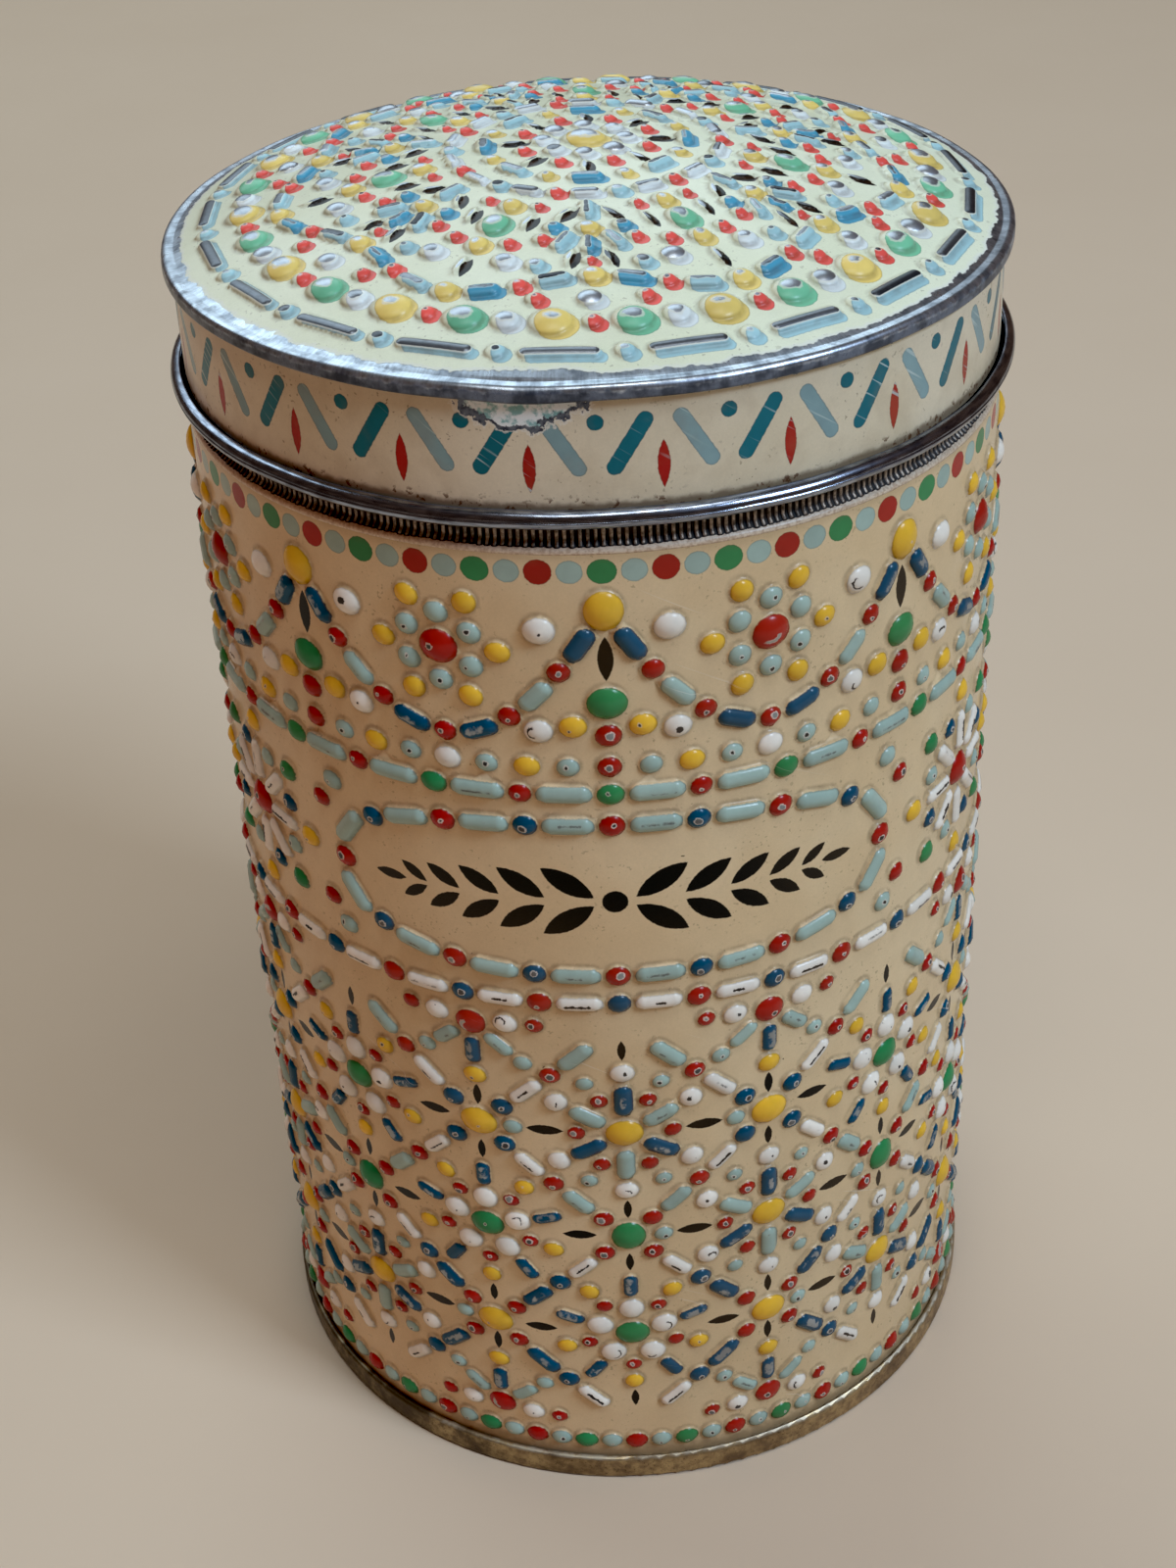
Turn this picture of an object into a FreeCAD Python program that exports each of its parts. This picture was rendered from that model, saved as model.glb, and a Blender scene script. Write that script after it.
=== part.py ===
import FreeCAD, Part
import math
import os

# Round slip-lid tea caddy in tinplate. Millimetres, +Z up, Z = 0 is the table,
# the tin's axis is Z and its front faces -Y. Every piece is a turned section of
# thin sheet: a centre line with rounded bends, thickened by half the sheet each
# way and turned about Z.

V = FreeCAD.Vector

# ---- driving dimensions ----------------------------------------------------
T = 0.30              # tinplate thickness
GAP = 0.03            # air between folded layers of a seam

# body
WALL_R = 44.60        # outside radius of the straight wall
WALL_TOP = 130.60     # where the straight wall turns into the shoulder
RIB_R = 43.85         # outside radius of the ribbed band at the foot of the neck
RIB_LOW = 131.35      # ribbed band, lower edge
RIB_TOP = 134.60      # ribbed band, upper edge
NECK_R = 43.62        # outside radius of the neck
MOUTH_TOP = 147.60    # top of the hemmed mouth edge
HEM_LEN = 2.6         # how far the mouth edge is folded down inside
LOCK_W = 4.2          # width of the lock seam inside the wall
LOCK_T = 0.62         # how far the folded seam stands into the tin
LOCK_Z0 = 4.2
LOCK_Z1 = 129.4
LOCK_LINE = 0.45      # width of the seam's line on the outside
LOCK_DEEP = 0.12      # depth of that line

# double seam at the base
SEAM_H = 3.45         # height of the seam above the table
PANEL_Z = 3.00        # height of the base panel's middle line
PANEL_STEP_R = 33.0   # the panel steps down a little inside this radius
PANEL_STEP = 0.7
FOOT_FLAT = 0.5       # flat width of the seam where it stands on the table

# lid
SKIRT_IN = 44.10      # inside radius of the skirt
CURL_D = 1.90         # outside diameter of the curled lower edge
CURL_LOW = 133.30     # lowest point of the curl
FLANGE_Z = 146.80     # middle height of the skirt's top flange
FLANGE_R = 44.82      # outer radius of that flange
RIM_R = 45.25         # outside radius of the folded rim
RIM_LOW = 146.30      # underside of the rim's lower lip
RIM_TOP = 148.05      # top of the rim
LIP_R = 44.50         # inner radius of the rim's lower lip
DOME_RISE = 7.60      # how far the dome's top stands above the rim
DOME_EDGE_R = 43.55   # radius where the dome meets the rim
LAP_W = 5.0           # width of the lap seam on the outside of the skirt
LAP_T = 0.22          # how far it stands out


# ---- thin sheet sections ---------------------------------------------------
def bends(points):
    """Centre line from (r, z, bend radius) corners, as a list of
    ('line', a, b) and ('arc', start, end, centre, radius, turn)."""
    out = []
    here = points[0][:2]
    for i in range(1, len(points)):
        x, z = points[i][:2]
        rad = points[i][2] if len(points[i]) > 2 else 0.0
        if i == len(points) - 1 or rad <= 0:
            if math.hypot(x - here[0], z - here[1]) > 1e-6:
                out.append(("line", here, (x, z)))
            here = (x, z)
            continue
        px, pz = points[i - 1][:2]
        nx, nz = points[i + 1][:2]
        la = math.hypot(x - px, z - pz)
        lb = math.hypot(nx - x, nz - z)
        ua = ((x - px) / la, (z - pz) / la)
        ub = ((nx - x) / lb, (nz - z) / lb)
        cross = ua[0] * ub[1] - ua[1] * ub[0]
        dot = ua[0] * ub[0] + ua[1] * ub[1]
        ang = math.atan2(cross, dot)
        d = rad * math.tan(abs(ang) / 2)
        a = (x - ua[0] * d, z - ua[1] * d)
        b = (x + ub[0] * d, z + ub[1] * d)
        side = 1.0 if ang > 0 else -1.0
        c = (a[0] - ua[1] * rad * side, a[1] + ua[0] * rad * side)
        if math.hypot(a[0] - here[0], a[1] - here[1]) > 1e-6:
            out.append(("line", here, a))
        out.append(("arc", a, b, c, rad, ang))
        here = b
    return out


def shifted(seg, off):
    """One segment of a centre line moved sideways: +off is to its left."""
    if seg[0] == "line":
        (ax, az), (bx, bz) = seg[1], seg[2]
        n = math.hypot(bx - ax, bz - az)
        ox, oz = -(bz - az) / n * off, (bx - ax) / n * off
        return ("line", (ax + ox, az + oz), (bx + ox, bz + oz))
    _, a, b, c, rad, ang = seg
    new = rad - off if ang > 0 else rad + off
    k = new / rad
    return ("arc", (c[0] + (a[0] - c[0]) * k, c[1] + (a[1] - c[1]) * k),
            (c[0] + (b[0] - c[0]) * k, c[1] + (b[1] - c[1]) * k), c, new, ang)


def edge(seg, back=False):
    def p(q):
        return V(max(q[0], 0.0), 0, q[1])
    a, b = p(seg[1]), p(seg[2])
    if seg[0] == "line":
        return Part.makeLine(b, a) if back else Part.makeLine(a, b)
    _, s, e, c, rad, ang = seg
    t0 = math.atan2(s[1] - c[1], s[0] - c[0])
    m = (c[0] + rad * math.cos(t0 + ang / 2), c[1] + rad * math.sin(t0 + ang / 2))
    if back:
        return Part.Arc(b, p(m), a).toShape()
    return Part.Arc(a, p(m), b).toShape()


def sheet(points, t=T):
    """Closed section of a sheet along a centre line, turned about Z."""
    segs = bends(points)
    left = [shifted(s, t / 2) for s in segs]
    right = [shifted(s, -t / 2) for s in segs]
    edges = [edge(s) for s in left]
    end_l, end_r = left[-1][2], right[-1][2]
    edges.append(Part.makeLine(V(end_l[0], 0, end_l[1]), V(end_r[0], 0, end_r[1])))
    edges += [edge(s, True) for s in reversed(right)]
    beg_l, beg_r = left[0][1], right[0][1]
    edges.append(Part.makeLine(V(max(beg_r[0], 0), 0, beg_r[1]),
                               V(max(beg_l[0], 0), 0, beg_l[1])))
    wire = Part.Wire(edges)
    face = Part.Face(wire)
    solid = face.revolve(V(0, 0, 0), V(0, 0, 1), 360)
    if solid.Volume < 0:
        solid.reverse()
    return solid


def strip(r0, r1, width, z0, z1):
    """Upright strip at the back (+Y) between two radii."""
    ring = Part.makeCylinder(r1, z1 - z0, V(0, 0, z0)).cut(
        Part.makeCylinder(r0, z1 - z0, V(0, 0, z0)))
    box = Part.makeBox(width, 2 * r1, z1 - z0, V(-width / 2, 0, z0))
    return ring.common(box)


# ---- double seam layout, from the inside out -------------------------------
wall_mid = WALL_R - T / 2
chuck_mid = wall_mid - T - GAP           # base disc, inside the wall
cover_mid = wall_mid + T + GAP           # base disc, hook behind the wall's hook
hook_mid = cover_mid + T + GAP           # wall, folded hook
seam_mid = hook_mid + T + GAP            # base disc, outer layer of the seam
foot_r = (seam_mid - chuck_mid - FOOT_FLAT) / 2   # bends at the foot of the seam
hook_low = 1.05                          # lowest point of the wall's fold
cover_top = SEAM_H - T / 2               # highest point of the outer layer


# ---- body wall -------------------------------------------------------------
hook_bend = (hook_mid - wall_mid) / 2
hem_bend = T / 2 + 0.04
neck_mid = NECK_R - T / 2
rib_mid = RIB_R - T / 2
body_line = [
    (hook_mid, 2.55),
    (hook_mid, hook_low + T / 2, hook_bend),
    (wall_mid, hook_low + T / 2, hook_bend),
    (wall_mid, WALL_TOP, 0.35),
    (rib_mid, RIB_LOW, 0.35),
    (rib_mid, RIB_TOP, 0.5),
    (neck_mid, RIB_TOP + 0.7, 0.5),
    (neck_mid, MOUTH_TOP - T / 2, hem_bend),
    (neck_mid - 2 * hem_bend, MOUTH_TOP - T / 2, hem_bend),
    (neck_mid - 2 * hem_bend, MOUTH_TOP - HEM_LEN),
]
body = sheet(body_line)
# lock seam: the folded edges stand inside the tin; outside it is a fine line
body = body.fuse(strip(WALL_R - T - LOCK_T, WALL_R - T + 0.1, LOCK_W, LOCK_Z0, LOCK_Z1))
line = strip(WALL_R - LOCK_DEEP, WALL_R + 1, LOCK_LINE, LOCK_Z0, LOCK_Z1)
line.translate(V(LOCK_W / 2 - LOCK_LINE, 0, 0))
body = body.cut(line).removeSplitter()

# ---- base disc -------------------------------------------------------------
foot_mid = T / 2
cover_bend = (seam_mid - cover_mid) / 2
base_line = [
    (0.0, PANEL_Z - PANEL_STEP),
    (PANEL_STEP_R, PANEL_Z - PANEL_STEP, 0.8),
    (PANEL_STEP_R + 1.4, PANEL_Z, 0.8),
    (chuck_mid, PANEL_Z, 0.7),
    (chuck_mid, foot_mid, foot_r),
    (seam_mid, foot_mid, foot_r),
    (seam_mid, cover_top, cover_bend),
    (cover_mid, cover_top, cover_bend),
    (cover_mid, 1.75),
]
base = sheet(base_line)

# ---- lid skirt -------------------------------------------------------------
skirt_mid = SKIRT_IN + T / 2
curl_rad = (CURL_D - T) / 2              # bend radius of the curl's centre line
curl_low = CURL_LOW + T / 2
c_r = skirt_mid + curl_rad
skirt_line = [
    (c_r - 0.15, CURL_LOW + CURL_D - T / 2),
    (c_r + curl_rad, CURL_LOW + CURL_D - T / 2, curl_rad),
    (c_r + curl_rad, curl_low, curl_rad),
    (skirt_mid, curl_low, curl_rad),
    (skirt_mid, FLANGE_Z, 0.25),
    (FLANGE_R, FLANGE_Z),
]
skirt = sheet(skirt_line)
lap = strip(SKIRT_IN + T - 0.1, SKIRT_IN + T + LAP_T, LAP_W,
            CURL_LOW + CURL_D + 0.25, RIM_LOW - 0.12)
skirt = skirt.fuse(lap).removeSplitter()

# ---- lid dome --------------------------------------------------------------
rim_mid_top = RIM_TOP - T / 2
dome_rad = (DOME_EDGE_R ** 2 + DOME_RISE ** 2) / (2 * DOME_RISE)
slope = math.asin(DOME_EDGE_R / dome_rad)
corner = dome_rad * math.tan(slope / 2)
apex = rim_mid_top + DOME_RISE
run = 0.35
dome_line = [
    (0.0, apex),
    (corner, apex, dome_rad),
    (DOME_EDGE_R + run * math.cos(slope), rim_mid_top - run * math.sin(slope), 0.6),
    (RIM_R - T / 2, rim_mid_top - run * math.sin(slope), 0.55),
    (RIM_R - T / 2, RIM_LOW + T / 2, 0.2),
    (LIP_R, RIM_LOW + T / 2),
]
dome = sheet(dome_line)

# ---- write -----------------------------------------------------------------
os.makedirs("parts", exist_ok=True)
for name, shape in (("body_wall", body), ("base_disc", base),
                    ("lid_skirt", skirt), ("lid_dome", dome)):
    solids = shape.Solids
    print(name, len(solids), shape.isValid(), round(shape.Volume, 2),
          [round(v, 3) for v in (shape.BoundBox.XMax, shape.BoundBox.ZMin, shape.BoundBox.ZMax)])
    solids[0].exportStep(os.path.join("parts", name + ".step"))

pairs = (("body_wall", body, "base_disc", base), ("lid_skirt", skirt, "lid_dome", dome),
         ("body_wall", body, "lid_skirt", skirt), ("body_wall", body, "lid_dome", dome))
for na, a, nb, b in pairs:
    print(na, nb, "shared", round(a.common(b).Volume, 4), "gap", round(a.distToShape(b)[0], 4))
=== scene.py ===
import math

import bmesh
import bpy
import numpy as np
from mathutils import Matrix, Vector
from mathutils.geometry import delaunay_2d_cdt


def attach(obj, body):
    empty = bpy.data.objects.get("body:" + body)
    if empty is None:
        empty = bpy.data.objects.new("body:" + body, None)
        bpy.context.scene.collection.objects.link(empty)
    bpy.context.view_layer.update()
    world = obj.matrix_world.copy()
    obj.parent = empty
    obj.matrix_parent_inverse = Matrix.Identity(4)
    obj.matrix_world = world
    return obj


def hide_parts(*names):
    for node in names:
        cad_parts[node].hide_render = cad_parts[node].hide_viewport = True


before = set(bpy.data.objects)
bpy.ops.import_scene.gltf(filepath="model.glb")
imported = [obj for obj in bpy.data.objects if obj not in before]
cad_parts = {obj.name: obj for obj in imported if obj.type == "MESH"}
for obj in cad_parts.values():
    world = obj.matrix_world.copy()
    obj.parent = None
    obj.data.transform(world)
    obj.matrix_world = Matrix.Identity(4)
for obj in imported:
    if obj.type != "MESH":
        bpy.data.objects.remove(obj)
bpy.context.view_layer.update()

# Round slip-lid tin with stamped and printed ornament. The measures below are in
# millimetres and repeat those of the sheet-metal pieces that the meshes stand for.
MM = 0.001
T = 0.30
WALL_R = 44.60
WALL_LOW = 2.20
WALL_HIGH = 130.25
AROUND = 2 * math.pi * WALL_R
PANEL_Z = 88.7
DOME_EDGE_R, DOME_RISE, RIM_MID = 43.55, 7.60, 147.90
DOME_RAD = (DOME_EDGE_R ** 2 + DOME_RISE ** 2) / (2 * DOME_RISE)
DOME_C = RIM_MID + DOME_RISE - DOME_RAD
DOME_CUT = 43.40
SKIRT_IN, CURL_D, CURL_LOW = 44.10, 1.90, 133.30
RIM_LOW = 146.30
rng = np.random.default_rng(11)

# ---- camera ------------------------------------------------------------------
F_PX, W_PX = 2427.0943, 1200.0
pitch, yaw, roll = 0.5877, 0.0110, -0.0471
cam_at = Vector((0.0, -0.24541653, 0.23786058))
right, up, ahead = Vector((1, 0, 0)), Vector((0, 0, 1)), Vector((0, 1, 0))
look = ahead * math.cos(pitch) - up * math.sin(pitch)
head = up * math.cos(pitch) + ahead * math.sin(pitch)
turn = Matrix.Rotation(yaw, 3, "Z")
right, look, head = turn @ right, turn @ look, turn @ head
right, head = (right * math.cos(roll) + head * math.sin(roll),
               head * math.cos(roll) - right * math.sin(roll))
cam = bpy.data.objects.new("camera", bpy.data.cameras.new("camera"))
cam.data.sensor_fit = "HORIZONTAL"
cam.data.sensor_width = 36.0
cam.data.lens = 36.0 * F_PX / W_PX
cam.data.clip_start, cam.data.clip_end = 0.01, 20.0
m = Matrix((right, head, -look)).transposed().to_4x4()
m.translation = cam_at
cam.matrix_world = m
bpy.context.scene.collection.objects.link(cam)
bpy.context.scene.camera = cam

# ---- printed and stamped ornament ------------------------------------------
RED, YEL, GRN, BLU, PAL, WHT, BLK, TEAL, GREY = range(9)
OVAL, CAP, LEAF = range(3)


class Bead:
    __slots__ = ("kind", "x", "y", "t", "a", "b", "ink", "rise")

    def __init__(self, kind, x, y, t, a, b, ink, rise):
        self.kind, self.x, self.y, self.t = kind, x, y, t
        self.a, self.b, self.ink, self.rise = a, b, ink, rise


RISE = 1.18           # all stamping taller or flatter
# name: (kind, length, width, ink, rise), millimetres
BODY = {
    "R": (OVAL, 2.75, 2.75, RED, .78), "r": (OVAL, 2.40, 2.40, RED, .72), "s": (OVAL, 2.05, 2.05, RED, .62),
    "RR": (OVAL, 4.30, 4.20, RED, 1.00), "b": (OVAL, 2.60, 2.60, BLU, .74),
    "B": (CAP, 5.60, 2.25, BLU, .80), "D": (CAP, 4.50, 2.15, BLU, .78),
    "P": (CAP, 5.60, 2.20, PAL, .78), "Q": (CAP, 4.50, 2.10, PAL, .76), "p": (OVAL, 2.60, 2.50, PAL, .72),
    "W": (CAP, 5.20, 2.00, WHT, .74), "V": (CAP, 4.30, 1.90, WHT, .70), "w": (OVAL, 3.30, 3.10, WHT, .86),
    "G": (OVAL, 4.50, 4.10, GRN, .98), "g": (OVAL, 2.90, 2.70, GRN, .78),
    "Y": (OVAL, 4.70, 4.20, YEL, 1.02), "y": (OVAL, 3.10, 2.90, YEL, .84),
    "K": (LEAF, 5.00, 1.60, BLK, 0.0), "k": (LEAF, 3.80, 1.30, BLK, 0.0),
}
LID = {
    "r": (OVAL, 2.0, 2.0, RED, .52), "RR": (OVAL, 3.9, 3.8, RED, .78),
    "D": (CAP, 3.9, 1.80, BLU, .57), "BB": (CAP, 5.4, 2.0, BLU, .62),
    "P": (CAP, 4.8, 1.90, PAL, .57), "Q": (CAP, 3.9, 1.75, PAL, .55), "p": (OVAL, 2.3, 2.2, PAL, .52),
    "V": (CAP, 3.5, 1.50, WHT, .54), "w": (OVAL, 2.9, 2.7, WHT, .64),
    "G": (OVAL, 4.1, 3.5, GRN, .74), "Y": (OVAL, 4.3, 3.8, YEL, .78), "y": (OVAL, 2.8, 2.6, YEL, .60),
    "k": (LEAF, 3.2, 1.1, BLK, 0.0),
}


def bead(name, x, y, t=0.0, k=1.0, ink=None, rise=None, of=BODY, l=None):
    kind, length, w, i, h = of[name]
    length = length if l is None else l
    h = h * RISE * min(k, 1.1) if rise is None else rise
    return Bead(kind, x, y, t, length * k / 2, w * k / 2, i if ink is None else ink, h)


def placed(motif, x, y, t=0.0):
    """A motif drawn about its own middle, moved to (x, y) and turned by t."""
    out = []
    c, s = math.cos(t), math.sin(t)
    for m in motif:
        out.append(Bead(m.kind, x + m.x * c - m.y * s, y + m.x * s + m.y * c,
                        m.t + t, m.a, m.b, m.ink, m.rise))
    return out


def around(name, n, r, t0=0.0, radial=True, k=1.0, inks=None, rise=None, of=BODY):
    out = []
    for j in range(n):
        t = t0 + 2 * math.pi * j / n
        out.append(bead(name, r * math.cos(t), r * math.sin(t), t if radial else t + math.pi / 2, k,
                        None if inks is None else inks[j % len(inks)], rise, of))
    return out


def strung(path, names, closed=False, lead=0.0, gap=.42, of=BODY):
    """Beads along a line of points. The long ones are stretched so that the gaps come out as wanted."""
    p = np.array(path, float)
    if closed:
        p = np.vstack([p, p[:1]])
    at = np.concatenate([[0], np.cumsum(np.hypot(*(p[1:] - p[:-1]).T))])
    whole = at[-1]
    if closed:
        p, at = np.vstack([p[-9:-1], p, p[1:9]]), np.concatenate([at[-9:-1] - whole, at, at[1:9] + whole])
    lens = np.array([of[n][1] for n in names])
    long_ = np.array([of[n][0] == CAP for n in names])
    gaps = len(names) if closed else len(names) - 1
    spare = whole - 2 * lead - lens.sum() - gap * gaps
    if long_.any():
        lens[long_] *= 1 + spare / lens[long_].sum()
    else:
        gap += spare / gaps
    out, s = [], -lens[0] / 2 if closed else lead
    for n, l in zip(names, lens):
        m = s + l / 2
        q = [np.interp(v, at, p[:, 0]) for v in (m - .4, m, m + .4)]
        w = [np.interp(v, at, p[:, 1]) for v in (m - .4, m, m + .4)]
        out.append(bead(n, q[1], w[1], math.atan2(w[2] - w[0], q[2] - q[0]), of=of, l=l))
        s += l + gap
    return out


def line(x0, y0, x1, y1, n=60):
    t = np.linspace(0, 1, n)
    return np.stack([x0 + (x1 - x0) * t, y0 + (y1 - y0) * t], 1)


UP = math.pi / 2


def flower_six():
    m = [bead("Y", 0, 0, 0, .92)]
    m += around("D", 6, 4.75, UP, inks=[BLU, PAL])
    m += around("s", 6, 5.45, UP + math.pi / 6)
    m += around("w", 6, 8.75, UP, radial=False, k=.85)
    for s in (-1, 1):
        m += [bead("p", s * 4.25, 7.25, 0, .78), bead("p", s * 4.25, -7.25, 0, .78)]
        m += [bead("K", s * 9.1, 0, 0, .86), bead("p", s * 12.75, 0, 0, .88)]
        m += [bead("k", 0, s * 11.85, UP, .72)]
    return m


def flower_five():
    m = [bead("G", 0, 0, 0, .92)]
    m += around("w", 5, 4.0, UP, k=.98)
    m += around("s", 5, 5.45, UP + math.pi / 5, k=.96)
    m += around("D", 5, 7.75, UP, k=.80)
    m += around("y", 5, 8.35, UP + math.pi / 5, k=.80)
    m += [bead("k", 0, s * 11.5, UP, .72) for s in (-1, 1)]
    m += [bead("K", s * 11.1, 0, 0, .80) for s in (-1, 1)]
    return m


def daisy():
    m = [bead("RR", 0, 0)]
    m += around("W", 8, 5.12, UP, k=.98)
    m += around("p", 8, 7.35, UP + math.pi / 8, inks=[BLU, PAL], k=.94)
    m += around("y", 8, 10.2, UP, inks=[YEL, GRN], k=.90)
    return m


def posy():
    m = [bead("RR", 0, 0, 0, .95)]
    m += around("p", 6, 3.85, UP, radial=False)
    m += around("y", 6, 6.15, UP + math.pi / 6, k=.86)
    return m


def fan():
    m = [bead("RR", 0, 1.9, 0, .82), bead("y", 0, 9.55, 0, .88), bead("k", 0, 12.6, UP, .78)]
    for t, ink in ((90, BLU), (40, PAL), (140, PAL)):
        t = math.radians(t)
        m.append(bead("D", 4.06 * math.cos(t), 1.9 + 4.06 * math.sin(t), t, .86, ink))
    for s in (-1, 1):
        m += [bead("w", s * 4.05, 1.35, 0, .85), bead("p", s * 5.75, 6.75, 0, .85), bead("s", s * 7.35, 1.2)]
    return m


def body_ornament():
    """Beads of the body as (arc from the front, height)."""
    out = []
    half = AROUND / 2 - 5.6
    inner = half - 1.9
    n = 8
    w = 2 * half / n
    # upright lines that end the ornament at the back
    for side in (-1, 1):
        out += strung(line(side * half, 8.6, side * half, 125.0), (["r", "W", "b", "W"] * 7)[:27])
    # lowest and highest borders
    out += strung(line(-inner + .6, 6.2, inner - .6, 6.2, 200), (["g", "p", "R", "p"] * 30)[:85])
    flat = strung(line(-inner + .6, 128.55, inner - .6, 128.55, 200), (["R", "p", "g", "p"] * 30)[:85])
    for b in flat:
        b.rise = 0.0
    out += flat
    # trellis on the lower half
    zb, hh = 9.3, 31.8
    zt = zb + 2 * hh
    for i in range(1, n):
        out.append(bead("G", -half + i * w, zb + hh, UP, .98))
    for j in range(2):
        for i in range(n):
            out.append(bead("Y", -half + (i + .5) * w, zb + (j + .5) * hh, 0, .95))
    for j in range(2):
        for i in range(n):
            mx, mz = -half + (i + .5) * w, zb + (j + .5) * hh
            for ax in (mx - w / 2, mx + w / 2):
                for az in (mz - hh / 2, mz + hh / 2):
                    d = math.hypot(mx - ax, mz - az)
                    ux, uz = (mx - ax) / d, (mz - az) / d
                    names = ["r", "V", "b", "D", "r"] if j == 0 else ["r", "Q", "r", "V", "b"]
                    lead = 2.7
                    if abs(az - zb) < 1 or abs(az - zt) < 1 or abs(abs(ax) - half) < .1:
                        names, lead = names[1:], 4.6
                    out += strung(line(ax + ux * lead, az + uz * lead, mx - ux * 2.75, mz - uz * 2.75), names)
    for j in range(2):
        for i in range(1, n):
            out += placed(flower_six() if (i + j) % 2 else flower_five(), -half + i * w, zb + (j + .5) * hh)
    for i in range(n):
        out += placed(flower_five() if i % 2 else flower_six(), -half + (i + .5) * w, zb + hh)
    for i in range(n):
        x = -half + (i + .5) * w
        out += placed(fan(), x, zb - .5)
        out += placed(fan(), x, zt + .5, math.pi)
    # line above the trellis, and under the upper frieze
    out += strung(line(-inner + .6, 75.6, inner - .6, 75.6, 200), (["R", "W", "b", "W"] * 20)[:61])
    out += strung(line(-inner + .6, 102.9, inner - .6, 102.9, 200), (["g", "P", "r", "P"] * 20)[:57])
    # cartouche in the middle band
    a, b, zc = 31.4, 9.8, PANEL_Z + .5
    t = np.linspace(0, 2 * math.pi, 800, endpoint=False)
    ex = 2 / 2.9
    cx = a * np.sign(np.cos(t)) * np.abs(np.cos(t)) ** ex
    cy = b * np.sign(np.sin(t)) * np.abs(np.sin(t)) ** ex
    out += strung(np.stack([cx, cy + zc], 1), ["R", "P", "b", "P"] * 8, closed=True)
    # leaf spray in the cartouche
    for sgn in (-1, 1):
        for x, l in ((4.2, 1.55), (9.2, 1.4), (13.8, 1.22), (17.9, 1.02), (21.4, .82)):
            lean = math.radians(34)
            for up in (-1, 1):
                o = bead("K", sgn * (x + .8), zc + up * 1.55 * l, lean * up if sgn > 0 else math.pi - lean * up, l * .86)
                o.b *= 1.14
                out.append(o)
        out.append(bead("K", sgn * 25.2, zc, 0, .78))
    out.append(bead("R", 0, zc, 0, 1.0, ink=BLK, rise=0.0))
    # big daisies of the middle band
    lo = 35.2
    pitch = (inner - lo) / 4
    for sgn in (-1, 1):
        for k in range(4):
            out += placed(daisy(), sgn * (lo + pitch * (k + .5)), zc)
        for k in range(1, 4):
            x = sgn * (lo + pitch * k)
            for up in (-1, 1):
                out += [bead("r", x, zc + up * 5.6), bead("k", x, zc + up * 9.2, UP, .95)]
        for up in (-1, 1):
            out += [bead("r", sgn * (lo - .9), zc + up * 6.6), bead("p", sgn * (lo - 3.0), zc + up * 9.6)]
    # hanging garlands of the upper frieze
    top, dip = 124.7, 15.2
    for i in range(n):
        xm = -half + (i + .5) * w
        names = ["D", "r", "Q", "r", "D", "r", "D", "r", "Q", "r", "D"]
        t = np.linspace(-1, 1, 160)
        if i == 0:
            names, t = names[2:], np.linspace(-.70, 1, 160)
        elif i == n - 1:
            names, t = names[:-2], np.linspace(-1, .70, 160)
        out += strung(np.stack([xm + t * w / 2, top - dip * (1 - t ** 2)], 1), names, lead=2.75)
        out += placed(posy(), xm, top - 5.3)
        out += [bead("w", xm + sgn * 10.4, top - 2.6) for sgn in (-1, 1)]
    for i in range(1, n):
        x = -half + i * w
        out += [bead("Y", x, top - .4, UP, .95), bead("K", x, top - 5.9, UP, 1.0), bead("G", x, top - 10.9, 0, .92),
                bead("R", x, top - 14.7)]
        for sgn in (-1, 1):
            out += [bead("y", x + sgn * 3.5, top - 13.6, 0, .92), bead("w", x + sgn * 7.0, top - 14.2, 0, .90)]
    # dots over the line
    m = 8 * n
    for k in range(1, m):
        x = -half + k * 2 * half / m
        nm = ("R", "p", "y", "p", "w", "p", "y", "p")[k % 8]
        out.append(bead(nm, x, 106.25, 0, .88 if nm in "yw" else .92))
    return out


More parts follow.
